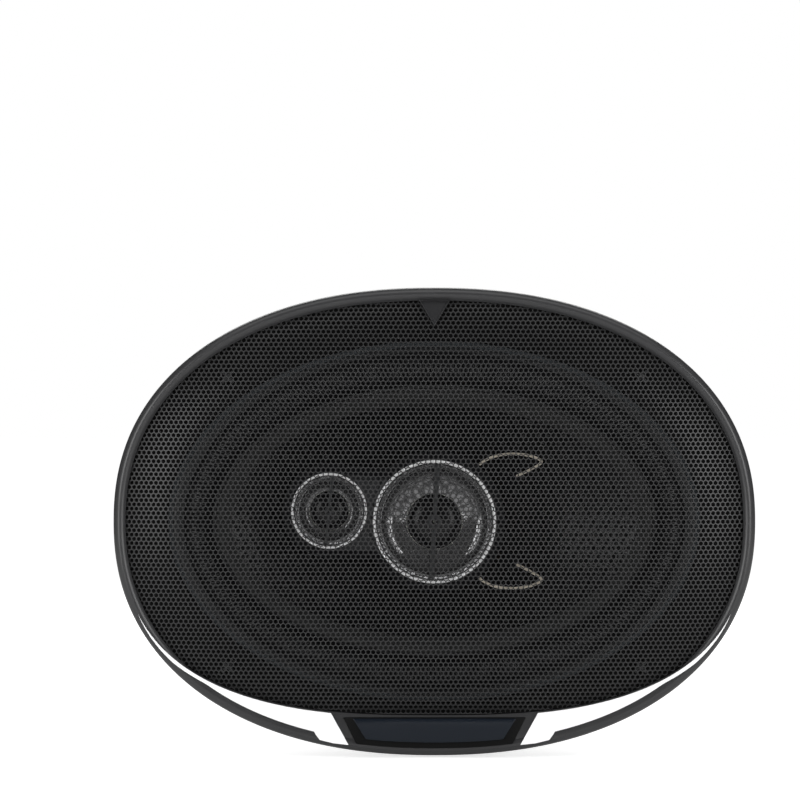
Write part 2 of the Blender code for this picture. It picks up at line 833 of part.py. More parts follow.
# A thin black ring behind the mesh hides the flange and the panel's opening.
oval_loft(
    "grille_base",
    [
        (grown(grille_outer, -WALL - 1.0), BASE_LOW),
        (grown(grille_outer, -WALL - 1.0), BASE_HIGH),
        (oval(*BASE_OPENING), BASE_HIGH),
        (oval(*BASE_OPENING), BASE_LOW),
    ],
    "grille_plastic",
    count=64,
)


def dome_skin():
    """The mesh's skin from its edge to the flat middle."""
    stations = [(1.0, SHELF_HEIGHT - 0.4), (7.0, 11.6), (17.0, 16.0), (29.0, DOME_HEIGHT)]
    return [(grown(grille_opening, -inset), height) for inset, height in stations]


def make_mesh():
    front = dome_skin()
    back = [(outline, height - MESH_THICK) for outline, height in front]
    return oval_loft("grille_mesh", back[::-1] + front, "mesh_steel", 64, "cap")


make_mesh()


def strip_points(side):
    """One bright strip on the frame's lower shelf, tip first."""
    lower = oval(*GRILLE_LOWER)
    outer = oval(*GRILLE_RIM)
    upper_edge = []
    lower_edge = []
    first = math.atan2(-38.5, 123.5)
    last = math.atan2(-80.4, 43.5)
    step_at = math.atan2(-88.5, 50.8)
    for k in range(13):
        angle = first + (last - first) * k / 12
        size = lower(angle) + 0.6
        upper_edge.append((size * math.cos(angle), size * math.sin(angle)))
    for k in range(13):
        angle = first + (step_at - first) * k / 12
        size = max(outer(angle) - 0.4, lower(angle) + 0.6 + 1.6 * min(1.0, k / 3))
        lower_edge.append((size * math.cos(angle), size * math.sin(angle)))
    toe = [(48.5, -91.6), (36.2, -94.0)]
    points = upper_edge[1:] + toe[::-1] + lower_edge[::-1]
    return [(side * x, z) for x, z in points]


for name, side in (("right", 1), ("left", -1)):
    prism(f"accent_{name}", strip_points(side), RIM_HEIGHT + GAP, RIM_HEIGHT + 1.1, "accent_silver")


def recess_outline(inset_side, inset_top, inset_foot, points=11):
    """The badge's outline: a flat top under the mesh, slanted sides and a curved foot."""
    top = -82.4 - inset_top
    foot = oval(GRILLE_OUTLINE[0] - inset_foot, GRILLE_OUTLINE[1] - inset_foot, GRILLE_OUTLINE[2])
    half_top = 38.5 - inset_side
    half_foot = 33.0 - inset_side
    outline = [(-half_top, top), (half_top, top)]
    for k in range(points):
        x = half_foot - 2 * half_foot * k / (points - 1)
        angle = math.atan2(-95.0, x)
        outline.append((x, foot(angle) * math.sin(angle)))
    return outline


prism("badge_bezel", recess_outline(0.0, 0.0, 3.2), RIM_HEIGHT + GAP, RIM_HEIGHT + 0.9, "grille_plastic")
prism("badge_plaque", recess_outline(4.0, 0.4, 5.6), RIM_HEIGHT + 1.2, RIM_HEIGHT + 2.4, "badge_gloss")


def make_triangle():
    """A small wedge that points down from the rim and follows the mesh's slope."""
    corners_low = [(-6.7, 9.8, 93.2), (0.0, 14.4, 82.0), (6.7, 9.8, 93.2)]
    loops = [[(x * MM, -(h + lift) * MM, z * MM) for x, h, z in corners_low] for lift in (0.0, 1.4)]
    loft("triangle_mark", loops, "grille_plastic", ends="cap", smooth=False)


make_triangle()

# Four cross-ribbed posts stand on the base ring, behind the mesh.
for k, (sx, sz) in enumerate(corners()):
    low = BASE_HIGH + 0.1
    high = 10.8 if sz > 0 else 9.2
    centre = (sx * 87.0, (low + high) / 2, sz * 61.0)
    turn = (0.0, 45.0, 0.0)
    post = block(f"grille_post_{k + 1}", (7.0, high - low, 1.4), centre, "grille_plastic", turn)
    cut(post, block("rib", (1.4, high - low - 0.2, 7.0), centre, None, turn), "UNION")

# Two springy arms reach back from the base ring, beside the ends of the flange.
for name, side in (("left", -1), ("right", 1)):
    arm = block(f"grille_arm_{name}", (11.4, 1.0, 6.0), (side * 124.9, 3.6, 0.0), "grille_plastic")
    cut(arm, block("arm_leg", (1.6, 3.4, 5.8), (side * 120.0, 2.3, 0.0), None), "UNION")
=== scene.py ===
# %% [markdown]
# # An oval coaxial car speaker, dressed around its CAD frame
#
# The CAD model already holds every part at its true size and in its true place. This lesson
# gives each visible part its real surface: pressed and painted steel, a pleated surround,
# a dimpled cone, a ribbed tweeter pod, and a grille with thousands of hexagonal holes.
#
# The speaker faces -Y, +X runs along its long side and +Z is up. A *height* is counted in
# millimetres forwards from the panel that the flange rests on, so a point at height h lies
# at y = -h.

# %% Load the frame
import math

import bmesh
import bpy
import numpy as np
from mathutils import Matrix, Vector


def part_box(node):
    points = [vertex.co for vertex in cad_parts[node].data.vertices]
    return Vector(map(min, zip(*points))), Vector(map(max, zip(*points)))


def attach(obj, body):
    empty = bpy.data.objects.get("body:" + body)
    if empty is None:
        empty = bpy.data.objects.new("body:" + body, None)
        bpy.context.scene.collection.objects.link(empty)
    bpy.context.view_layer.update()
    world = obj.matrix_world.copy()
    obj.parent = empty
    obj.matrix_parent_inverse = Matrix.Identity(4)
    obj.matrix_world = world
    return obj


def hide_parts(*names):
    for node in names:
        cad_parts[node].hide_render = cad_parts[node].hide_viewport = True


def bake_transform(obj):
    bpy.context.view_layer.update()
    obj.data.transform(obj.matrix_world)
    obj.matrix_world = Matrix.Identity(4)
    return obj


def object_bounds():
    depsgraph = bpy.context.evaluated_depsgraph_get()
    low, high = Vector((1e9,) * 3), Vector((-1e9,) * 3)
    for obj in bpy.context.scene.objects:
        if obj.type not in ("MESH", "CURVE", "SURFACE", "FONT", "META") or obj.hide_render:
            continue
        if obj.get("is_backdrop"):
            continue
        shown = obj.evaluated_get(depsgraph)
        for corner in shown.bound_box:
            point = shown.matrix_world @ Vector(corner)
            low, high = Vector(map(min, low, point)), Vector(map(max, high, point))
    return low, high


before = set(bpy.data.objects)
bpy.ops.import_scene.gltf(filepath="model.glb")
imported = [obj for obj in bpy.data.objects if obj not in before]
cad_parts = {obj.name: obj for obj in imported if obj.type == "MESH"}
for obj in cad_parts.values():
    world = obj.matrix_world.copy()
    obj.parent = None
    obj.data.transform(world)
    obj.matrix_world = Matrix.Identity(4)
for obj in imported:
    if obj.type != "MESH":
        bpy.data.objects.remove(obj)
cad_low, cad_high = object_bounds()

MM = 0.001


def half_size(node):
    """Half the width and half the height of a CAD node, in millimetres."""
    low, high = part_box(node)
    return (high.x - low.x) / 2 / MM, (high.z - low.z) / 2 / MM


def heights(node):
    """The lowest and highest height of a CAD node, in millimetres."""
    low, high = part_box(node)
    return -high.y / MM, -low.y / MM


def centre_of(node):
    """The middle of a CAD node seen from the front, as (x, z) in millimetres."""
    low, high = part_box(node)
    return (high.x + low.x) / 2 / MM, (high.z + low.z) / 2 / MM


# %% [markdown]
# ## Materials
#
# Nearly every part here is black or grey, so what tells them apart is their finish: how
# rough they are, how fine their grain is, and how much the tone wanders. One helper makes
# that recipe. It reads Object coordinates, which on these pieces are real metres, so a grain
# size can be given in millimetres.

# %% The material helper
def noise_node(nodes, links, coordinates, grain_mm, detail):
    """A noise pattern whose features are about that many millimetres across."""
    noise = nodes.new("ShaderNodeTexNoise")
    noise.inputs["Scale"].default_value = 1.0 / (grain_mm * MM)
    noise.inputs["Detail"].default_value = detail
    links.new(coordinates, noise.inputs["Vector"])
    return noise


def make_finish(
    name, colour, roughness, metallic=0.0, grain_mm=0.6, depth_mm=0.02, wander=0.12,
    rough_spread=0.08, coat=0.0, specular=0.5, patch_mm=18.0,
):
    material = bpy.data.materials.new(name)
    material.use_nodes = True
    nodes, links = material.node_tree.nodes, material.node_tree.links
    shader = nodes["Principled BSDF"]
    shader.inputs["Metallic"].default_value = metallic
    shader.inputs["Specular IOR Level"].default_value = specular
    shader.inputs["Coat Weight"].default_value = coat
    shader.inputs["Coat Roughness"].default_value = 0.06
    coordinates = nodes.new("ShaderNodeTexCoord").outputs["Object"]

    patches = noise_node(nodes, links, coordinates, patch_mm, 3.0)
    tone = nodes.new("ShaderNodeMix")
    tone.data_type = "RGBA"
    tone.inputs["A"].default_value = (*[c * (1 - wander) for c in colour], 1)
    tone.inputs["B"].default_value = (*[min(1, c * (1 + wander)) for c in colour], 1)
    links.new(patches.outputs["Fac"], tone.inputs["Factor"])
    links.new(tone.outputs["Result"], shader.inputs["Base Color"])

    grain = noise_node(nodes, links, coordinates, grain_mm, 6.0)
    rough = nodes.new("ShaderNodeMapRange")
    rough.inputs["To Min"].default_value = max(0.02, roughness - rough_spread)
    rough.inputs["To Max"].default_value = min(1.0, roughness + rough_spread)
    links.new(grain.outputs["Fac"], rough.inputs["Value"])
    links.new(rough.outputs["Result"], shader.inputs["Roughness"])

    bump = nodes.new("ShaderNodeBump")
    bump.inputs["Distance"].default_value = depth_mm * MM
    links.new(grain.outputs["Fac"], bump.inputs["Height"])
    links.new(bump.outputs["Normal"], shader.inputs["Normal"])
    return material


# %% The finishes of this speaker
charcoal_paint = make_finish("charcoal_paint", (0.032, 0.036, 0.039), 0.55, 0.0, 0.35, 0.012, 0.06)
# near-black: painted shade over the flange's rolled edge, and the plain black of the grille's base ring
# and of the bezel
shade_and_trim_black = make_finish("shade_and_trim_black", (0.003, 0.003, 0.003), 0.6, 0.0, 0.4, 0.02, 0.1, specular=0.15)
gasket_black = make_finish("gasket_black", (0.009, 0.0095, 0.010), 0.5, 0.0, 0.5, 0.02, 0.1)
surround_rubber = make_finish("surround_rubber", (0.0075, 0.0075, 0.008), 0.34, 0.0, 0.4, 0.02, 0.1)
cone_black = make_finish("cone_black", (0.006, 0.006, 0.0065), 0.23, 0.0, 0.3, 0.01, 0.15)
band_black = make_finish("band_black", (0.013, 0.013, 0.013), 0.62, 0.0, 0.5, 0.02, 0.08)
pod_plastic = make_finish("pod_plastic", (0.005, 0.005, 0.006), 0.36, 0.0, 0.3, 0.015, 0.12)
waist_grey = make_finish("waist_grey", (0.018, 0.0185, 0.020), 0.55, 0.0, 0.3, 0.01, 0.05)
bridge_grey = make_finish("bridge_grey", (0.024, 0.0245, 0.026), 0.5, 0.0, 0.3, 0.01, 0.05)
gloss_black = make_finish(
    "gloss_black", (0.24, 0.24, 0.245), 0.10, 0.85, 2.0, 0.002, 0.1, 0.03, coat=0.6, specular=0.6,
)
dome_film = make_finish("dome_film", (0.004, 0.004, 0.0045), 0.2, 0.0, 0.5, 0.01, 0.1, coat=0.2)
bright_silver = make_finish(
    "bright_silver", (0.95, 0.95, 0.955), 0.30, 0.1, 0.3, 0.002, 0.03, 0.05,
)
plated_steel = make_finish("plated_steel", (0.46, 0.45, 0.42), 0.34, 1.0, 0.8, 0.01, 0.12, patch_mm=9.0)
ferrite_grey = make_finish("ferrite_grey", (0.035, 0.035, 0.037), 0.72, 0.0, 0.4, 0.05, 0.2)
copper_wire = make_finish("copper_wire", (0.55, 0.24, 0.10), 0.35, 1.0, 0.3, 0.02, 0.1)
amber_film = make_finish("amber_film", (0.36, 0.19, 0.05), 0.35, 0.0, 1.0, 0.01, 0.1)
black_cement = make_finish("black_cement", (0.006, 0.006, 0.007), 0.25, 0.0, 1.2, 0.1, 0.2, coat=0.5)
fibre_brown = make_finish("fibre_brown", (0.16, 0.075, 0.03), 0.75, 0.0, 0.4, 0.03, 0.2)
tinned_brass = make_finish("tinned_brass", (0.74, 0.58, 0.30), 0.3, 1.0, 0.5, 0.01, 0.1)
sleeve_blue = make_finish("sleeve_blue", (0.012, 0.035, 0.12), 0.3, 0.0, 1.0, 0.02, 0.1)
# the grille's plastic comes in two copies. This darker one carries painted shade and goes on the wedge
# and the arms. The next one is lighter and less rough, carries painted light, and goes on the hoop and
# the posts.
grille_plastic = make_finish("grille_plastic", (0.014, 0.014, 0.015), 0.40, 0.0, 0.3, 0.012, 0.08)
lit_satin_plastic = make_finish("lit_satin_plastic", (0.030, 0.030, 0.031), 0.30, 0.0, 0.3, 0.006, 0.05)
mesh_coat = make_finish("mesh_coat", (0.023, 0.023, 0.0235), 0.42, 0.0, 0.3, 0.01, 0.1)
accent_silver = make_finish("accent_silver", (0.90, 0.90, 0.905), 0.32, 0.1, 0.25, 0.004, 0.02)
badge_gloss = make_finish(
    "badge_gloss", (0.005, 0.0075, 0.012), 0.12, 0.0, 3.0, 0.002, 0.1, 0.03, coat=0.0, specular=0.35,
)


# %% [markdown]
# Two cloth-like parts need a woven pattern: the braid of the leads and the spider's cloth.
# A pair of crossed wave patterns gives the threads, as a bump and as a slight change of tone.

# %% Woven finishes
def make_weave(name, colour, thread_mm, depth_mm, roughness):
    material = bpy.data.materials.new(name)
    material.use_nodes = True
    nodes, links = material.node_tree.nodes, material.node_tree.links
    shader = nodes["Principled BSDF"]
    shader.inputs["Roughness"].default_value = roughness
    shader.inputs["Sheen Weight"].default_value = 0.3
    coordinates = nodes.new("ShaderNodeTexCoord").outputs["Object"]
    threads = nodes.new("ShaderNodeMath")
    threads.operation = "ADD"
    for k, turn in enumerate((45.0, -45.0)):
        mapping = nodes.new("ShaderNodeMapping")
        mapping.inputs["Rotation"].default_value = (0.0, math.radians(turn), 0.0)
        wave = nodes.new("ShaderNodeTexWave")
        wave.inputs["Scale"].default_value = 0.5 / (thread_mm * MM)
        wave.inputs["Distortion"].default_value = 0.4
        links.new(coordinates, mapping.inputs["Vector"])
        links.new(mapping.outputs["Vector"], wave.inputs["Vector"])
        links.new(wave.outputs["Fac"], threads.inputs[k])
    ramp = nodes.new("ShaderNodeMapRange")
    ramp.inputs["From Max"].default_value = 2.0
    links.new(threads.outputs[0], ramp.inputs["Value"])
    tone = nodes.new("ShaderNodeMix")
    tone.data_type = "RGBA"
    tone.inputs["A"].default_value = (*[0.55 * c for c in colour], 1)
    tone.inputs["B"].default_value = (*colour, 1)
    links.new(ramp.outputs["Result"], tone.inputs["Factor"])
    links.new(tone.outputs["Result"], shader.inputs["Base Color"])
    bump = nodes.new("ShaderNodeBump")
    bump.inputs["Distance"].default_value = depth_mm * MM
    links.new(ramp.outputs["Result"], bump.inputs["Height"])
    links.new(bump.outputs["Normal"], shader.inputs["Normal"])
    return material


spider_cloth = make_weave("spider_cloth", (0.50, 0.33, 0.10), 0.5, 0.08, 0.85)
lead_braid = make_weave("lead_braid", (0.70, 0.63, 0.52), 0.32, 0.05, 0.55)
print("materials:", len(bpy.data.materials))

# %% [markdown]
# ## How the shapes are made
#
# A speaker is nearly all ovals: each part is a ring whose outline grows or shrinks from one
# height to the next. By hand one would add a circle, press E to extrude it, and push each new
# ring to its place. The helper below does just that with the same operators. A *station* is
# one ring: a table of (x, height, z) rows in millimetres, one row for each point.

# %% Outlines
def turns(count):
    return np.arange(count) * (math.tau / count)


def oval_radius(angles, half_width, half_height, power=2.0):
    """A (super)ellipse's radius at polar angles."""
    across = np.abs(np.cos(angles) / half_width) ** power
    up = np.abs(np.sin(angles) / half_height) ** power
    return (across + up) ** (-1.0 / power)


def even_angles(half_width, half_height, count, power=2.0):
    """Polar angles of points that are equally far apart along an oval."""
    fine = np.linspace(0, math.tau, 7201)
    size = oval_radius(fine, half_width, half_height, power)
    line = np.stack([size * np.cos(fine), size * np.sin(fine)], 1)
    along = np.concatenate([[0], np.cumsum(np.linalg.norm(np.diff(line, axis=0), axis=1))])
    return np.interp(np.arange(count) * along[-1] / count, along, fine)


def station(angles, size, height, centre=(0.0, 0.0)):
    """A ring of points at polar angles; size and height are numbers or one for each point."""
    size = np.broadcast_to(size, angles.shape)
    height = np.broadcast_to(height, angles.shape)
    x = centre[0] + size * np.cos(angles)
    z = centre[1] + size * np.sin(angles)
    return np.stack([x, height, z], 1)


# %% Picking a piece and moving its points
def deselect_all():
    if bpy.context.object and bpy.context.object.mode != "OBJECT":
        bpy.ops.object.mode_set(mode="OBJECT")
    bpy.ops.object.select_all(action="DESELECT")


def pick(item):
    deselect_all()
    item.select_set(True)
    bpy.context.view_layer.objects.active = item


def edit_all(item):
    """Opens Edit Mode with the whole piece selected."""
    pick(item)
    bpy.ops.object.mode_set(mode="EDIT")
    bpy.ops.mesh.select_all(action="SELECT")


AXES = np.array([MM, -MM, MM])


def to_row_frame(points):
    """(x, height, z) in millimetres to (x, y, z) in metres."""
    return np.asarray(points, float) * AXES


def mesh_points(item):
    """A piece's points as (x, y, z), as the mesh holds them."""
    co = np.zeros(len(item.data.vertices) * 3)
    item.data.vertices.foreach_get("co", co)
    return co.reshape(-1, 3)


def points_of(item):
    """A piece's points as (x, height, z) in millimetres."""
    return mesh_points(item) / AXES


def set_points(item, x, height, z):
    """Moves a piece's points to x, height and z in millimetres."""
    item.data.vertices.foreach_set("co", to_row_frame(np.stack([x, height, z], 1)).ravel())


def face_outwards(item):
    """Turns all faces outwards, and turns them round if the solid is inside out."""
    edit_all(item)
    bpy.ops.mesh.normals_make_consistent(inside=False)
    shape = bmesh.from_edit_mesh(item.data)
    if shape.calc_volume(signed=True) < 0:
        bpy.ops.mesh.flip_normals()
    bpy.ops.object.mode_set(mode="OBJECT")


# %% The sweep helper
def sweep(name, stations, close="ring"):
    """Extrudes a circle through the stations. close is ring, for a closed band, or cap."""
    count = len(stations[0])
    deselect_all()
    bpy.ops.mesh.primitive_circle_add(vertices=count, radius=1.0)
    item = bpy.context.object
    item.name = name
    bpy.ops.object.mode_set(mode="EDIT")
    shape = bmesh.from_edit_mesh(item.data)
    place = shape.verts.layers.int.new("place")
    for vert in shape.verts:
        vert[place] = vert.index
    rings = [to_row_frame(s) for s in stations]
    if close == "ring":
        rings.append(rings[0])
    for step, ring in enumerate(rings):
        if step > 0:
            bpy.ops.mesh.extrude_region_move()
            shape = bmesh.from_edit_mesh(item.data)
            place = shape.verts.layers.int["place"]
        for vert in shape.verts:
            if vert.select:
                vert.co = ring[vert[place]]
        bmesh.update_edit_mesh(item.data)
    if close == "cap":
        bpy.ops.mesh.edge_face_add()
        bpy.ops.mesh.select_all(action="DESELECT")
        bpy.ops.mesh.select_non_manifold()
        bpy.ops.mesh.edge_face_add()
    bpy.ops.mesh.select_all(action="SELECT")
    bpy.ops.mesh.remove_doubles(threshold=1e-6)
    bpy.ops.object.mode_set(mode="OBJECT")
    item.data.attributes.remove(item.data.attributes["place"])
    face_outwards(item)
    return item


def lofted(name, angles, profile, centre=(0.0, 0.0), close="ring"):
    """A part from (radius, height) steps; a radius is one number, or one for each angle."""
    return sweep(name, [station(angles, r, h, centre) for r, h in profile], close)


def turned(name, profile, centre=(0.0, 0.0), count=96, close="ring"):
    """A round part from (radius, height) steps."""
    return lofted(name, turns(count), profile, centre, close)


def ovals(name, profile, angles):
    """An oval part from ((half width, half height), height) steps."""
    return lofted(name, angles, [(oval_radius(angles, *size), h) for size, h in profile])


# %% [markdown]
# A finished piece gets its material, its shading, the body that it moves with, and the CAD
# parts that it stands for. One helper does that book-keeping and prints the piece's size.

# %% The finishing helper
made = []


def finish(item, material, body, stands_for=(), smooth=35.0):
    pick(item)
    item.data.materials.clear()
    item.data.materials.append(material)
    bpy.ops.object.shade_smooth_by_angle(angle=math.radians(smooth))
    if body:
        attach(item, body)
    if stands_for:
        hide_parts(*stands_for)
    made.append(item.name)
    size = [round(v / MM, 1) for v in item.dimensions]
    print(f"{item.name}: {len(item.data.polygons)} faces, {size} mm")
    return item


def cut_away(item, cutter, operation="DIFFERENCE"):
    """Cuts or joins with a second solid, which is then removed."""
    pick(item)
    boolean = item.modifiers.new("cut", "BOOLEAN")
    boolean.operation = operation
    boolean.object = cutter
    boolean.solver = "EXACT"
    bpy.ops.object.modifier_apply(modifier="cut")
    bpy.data.objects.remove(cutter, do_unlink=True)


def round_edges(item, width_mm, segments=2, angle=35.0):
    pick(item)
    bevel = item.modifiers.new("round", "BEVEL")
    bevel.width = width_mm * MM
    bevel.segments = segments
    bevel.limit_method = "ANGLE"
    bevel.angle_limit = math.radians(angle)
    bpy.ops.object.modifier_apply(modifier="round")


# %% [markdown]
# ## The basket
#
# The basket is pressed from one sheet of steel and painted charcoal. Its flange is an oval
# land with four ears, a crease where they meet, and an edge that is rolled back. From the
# flange the sheet runs back to the round cup that holds the spider and the motor.

# %% The flange's outline
OVAL = (117.3, 80.6)
EAR_POINTS = [
    (117.3, 0.0), (115.6, 12.0), (110.6, 27.0), (103.6, 43.5), (95.6, 59.8),
    (91.3, 65.8), (85.0, 69.9), (77.5, 71.7), (41.0, 77.2), (0.0, 80.6),
]


def curve_through(points, steps):
    """A smooth line through the points, the Catmull-Rom way."""
    points = np.array(points, float)
    first = 2 * points[0] - points[1]
    last = 2 * points[-1] - points[-2]
    p = np.vstack([first, points, last])
    line = []
    for k in range(1, len(p) - 2):
        for i in range(steps):
            t = i / steps
            a, b, c, d = p[k - 1 : k + 3]
            cubic = (3 * b - a - 3 * c + d) * t**3
            line.append(0.5 * (2 * b + (c - a) * t + (2 * a - 5 * b + 4 * c - d) * t**2 + cubic))
    return np.array(line + [points[-1]])


def ear_radius(angles):
    """The flange's outline as a radius at polar angles."""
    before = (EAR_POINTS[1][0], -EAR_POINTS[1][1])
    after = (-EAR_POINTS[-2][0], EAR_POINTS[-2][1])
    line = curve_through([before] + EAR_POINTS + [after], 12)
    polar = np.arctan2(line[:, 1], line[:, 0])
    size = np.hypot(line[:, 0], line[:, 1])
    quadrant = np.arctan2(np.abs(np.sin(angles)), np.abs(np.cos(angles)))
    return np.interp(quadrant, polar, size)


# %% The basket's stations
basket_angles = even_angles(*OVAL, 360)
LAND = round(heights("basket")[1], 2)
EAR = LAND - 0.8
CUP = 50.0


def flange_radii():
    """The flange's outline, the land inside it, and the outermost edge."""
    flange = ear_radius(basket_angles)
    land = oval_radius(basket_angles, OVAL[0] - 0.6, OVAL[1] - 0.6)
    return flange, land, np.maximum(flange, land + 1.4)


def make_basket():
    flange, land, edge = flange_radii()
    plateau = np.maximum(flange - 1.9, land + 1.0)

    def oval(half_width, half_height):
        return oval_radius(basket_angles, half_width, half_height)

    rows = [
        (edge - 0.5, 0.0), (oval(110.0, 75.0), 0.0), (oval(108.4, 73.4), -0.5),
        (oval(107.0, 72.0), -2.5), (oval(101.5, 69.0), -8.5), (oval(98.4, 67.0), -10.2),
        (oval(91.0, 62.6), -18.8), (oval(82.0, 59.4), -24.5), (CUP + 4.0, -34.4),
        (CUP + 1.9, -36.4), (CUP + 1.4, -38.0), (CUP + 0.7, -49.2), (CUP + 0.2, -50.0),
        (CUP - 26, -50.0), (CUP - 26, -48.5), (CUP - 5, -48.5), (CUP - 4, -39.7),
        (CUP - 0.5, -39.7), (CUP, -36.0),
        (oval(81.0, 58.4), -23.2), (oval(89.6, 61.2), -18.0), (oval(98.0, 66.4), -8.0),
        (oval(104.0, 70.6), -2.0), (oval(104.0, 70.6), LAND - 0.3), (oval(104.4, 70.9), LAND),
        (land - 0.4, LAND), (land, LAND - 0.2), (land + 0.15, EAR - 0.5), (land + 0.55, EAR - 0.5),
        (land + 0.75, EAR), (plateau, EAR), (plateau + 0.3, EAR - 0.35),
        (plateau + (edge - plateau) * 0.6, EAR - 0.8), (edge - 0.35, 0.5), (edge - 0.35, 0.2),
    ]
    return lofted("basket_pressing", basket_angles, rows)


basket = make_basket()

# %% [markdown]
# The four slots sit on U-shaped pads that are pressed down into the ears and open towards
# the corner. Both are stadium shapes, so one outline makes the two cutters. Its direction
# follows the ear, 55 degrees from the long axis.

# %% Cut the pads, slots and notches
SLOT_AT = (84.0, 60.5)
SLOT_ANGLE = math.radians(55.0)
# (length, width) of each stadium; a pad's outer end runs on to the corner
SLOT_SIZE, RIM_SIZE, PAD_SIZE, NOTCH_SIZE = (9.2, 6.3), (9.8, 6.9), (17.0, 11.4), (7.0, 4.7)
PAD_REACH = 12.0
BELOW, ABOVE = -3.0, LAND + 3


def prism(name, outline, low, high):
    """A flat outline of (x, z) points, filled and raised between two heights."""
    rings = [np.array([(x, h, z) for x, z in outline], float) for h in (low, high)]
    return sweep(name, rings, close="cap")


def stadium(length, width, centre, angle, reach=0.0):
    """A slot's outline; reach lengthens its outer end."""
    points = []
    for side, start in ((1, -90), (-1, 90)):
        middle = side * (length - width) / 2 + (reach if side > 0 else 0.0)
        for step in range(13):
            turn = math.radians(start + 15 * step)
            u = middle + width / 2 * math.cos(turn)
            v = width / 2 * math.sin(turn)
            x = centre[0] + u * math.cos(angle) - v * math.sin(angle)
            z = centre[1] + u * math.sin(angle) + v * math.cos(angle)
            points.append((x, z))
    return points


def cut_slots(item, with_pads=False):
    """Cuts the four slots and the two end notches, and their recessed pads if asked."""
    for sx in (1, -1):
        for sz in (1, -1):
            middle = (sx * SLOT_AT[0], sz * SLOT_AT[1])
            angle = math.atan2(sz * math.sin(SLOT_ANGLE), sx * math.cos(SLOT_ANGLE))
            if with_pads:
                pad = stadium(*PAD_SIZE, middle, angle, PAD_REACH)
                cut_away(item, prism("pad", pad, EAR - 0.6, ABOVE))
                rim = stadium(*RIM_SIZE, middle, angle)
                cut_away(item, prism("rim", rim, EAR - 0.85, ABOVE))
            cut_away(item, prism("slot", stadium(*SLOT_SIZE, middle, angle), BELOW, ABOVE))
        notch = stadium(*NOTCH_SIZE, (sx * (OVAL[0] + 1.2), 0.0), 0.0)
        cut_away(item, prism("notch", notch, BELOW, ABOVE))


cut_slots(basket, with_pads=True)

# %% [markdown]
# Eight windows between the spokes let the air behind the cone out.

# %% Cut the windows
WINDOWS = 8
WINDOW_SHARE = 0.60
SQUEEZE = 0.72
# (height, inner reach, outer reach) of a cutter's front and rear
WINDOW_ENDS = [(-11.4, 60.0, 125.0), (-30.6, 54.0, 100.0)]
for k in range(WINDOWS):
    middle = math.tau * (k + 0.5) / WINDOWS
    spread = WINDOW_SHARE * math.pi / WINDOWS
    rings = []
    for height, inner, outer in WINDOW_ENDS:
        corner = []
        for size, side in ((inner, -1), (outer, -1), (outer, 1), (inner, 1)):
            turn = middle + side * spread
            corner.append((size * math.cos(turn), height, SQUEEZE * size * math.sin(turn)))
        rings.append(np.array(corner))
    window = sweep("window", rings, close="cap")
    round_edges(window, 3.0, 3, 20.0)
    cut_away(basket, window)
finish(basket, charcoal_paint, "speaker", ["basket"], 28.0)

# %% [markdown]
# The sheet's cut edge is rolled back. A thin near-black ring over the roll paints its shade,
# which draws the dark line round the flange.

# %% The painted shade round the flange's edge
def make_edge_shade():
    flange, land, edge = flange_radii()
    start = np.maximum(flange - 1.7, land + 1.0)
    width = edge - start
    rows = [
        (start, EAR - 0.25), (start + 0.35 * width, EAR - 0.3), (start + 0.8 * width, EAR - 0.7),
        (edge, 0.6), (edge, 0.25), (start + 0.85 * width, 0.1), (start + 0.65 * width, 0.1),
        (start, EAR - 0.9),
    ]
    return lofted("flange_edge_shade", basket_angles, rows)


# painted shade: a near-black ring laid over the rolled edge of the flange
edge_shade = make_edge_shade()
cut_slots(edge_shade)
finish(edge_shade, shade_and_trim_black, "speaker")

# %% [markdown]
# ## Gasket ring and surround
#
# A moulded trim ring covers the glued edge of the surround. The surround itself is one soft
# roll, pleated all round so that it can stretch. Its pleats are narrow grooves between wide
# ridges, so each ring of points is lifted by a rounded comb that fades towards both edges.

# %% Gasket ring
gasket_half = half_size("gasket_ring")
gasket_low, gasket_high = heights("gasket_ring")
gasket_angles = even_angles(*gasket_half, 240)
gasket = ovals(
    "trim_ring",
    [
        ((gasket_half[0] - 0.1, gasket_half[1] - 0.1), gasket_low),
        (gasket_half, gasket_low + 0.4),
        (gasket_half, gasket_high - 0.7),
        ((gasket_half[0] - 0.3, gasket_half[1] - 0.2), gasket_high - 0.2),
        ((gasket_half[0] - 0.9, gasket_half[1] - 0.6), gasket_high),
        ((106.6, 71.8), gasket_high),
        ((105.8, 71.35), gasket_high - 0.25),
        ((105.5, 71.2), gasket_high - 0.8),
        ((105.5, 71.2), 3.8),
        ((108.8, 73.1), 3.8),
        ((108.8, 73.1), gasket_low),
    ],
    gasket_angles,
)
finish(gasket, gasket_black, "speaker", ["gasket_ring"])

# %% The pleated surround
PLEATS = 158
STEPS_PER_PLEAT = 10
RIDGE_SHARE = 0.6
PLEAT_RISE, PLEAT_SWELL = 0.95, 0.2
RUBBER = 0.5
CREST = (99.5, 62.9)
RIM = (92.5, 56.2)
surround_angles = even_angles(*CREST, PLEATS * STEPS_PER_PLEAT)


def pleat_comb():
    """One for a ridge and zero in a groove, for each point round the surround."""
    share = (np.arange(len(surround_angles)) % STEPS_PER_PLEAT) / STEPS_PER_PLEAT
    on_ridge = share < RIDGE_SHARE
    ridge = np.where(on_ridge, np.sin(math.pi * share / RIDGE_SHARE) ** 0.6, 0.0)
    after = math.pi * (share - RIDGE_SHARE) / (1 - RIDGE_SHARE)
    return ridge + np.where(on_ridge, 0.0, 0.35 * np.sin(after))


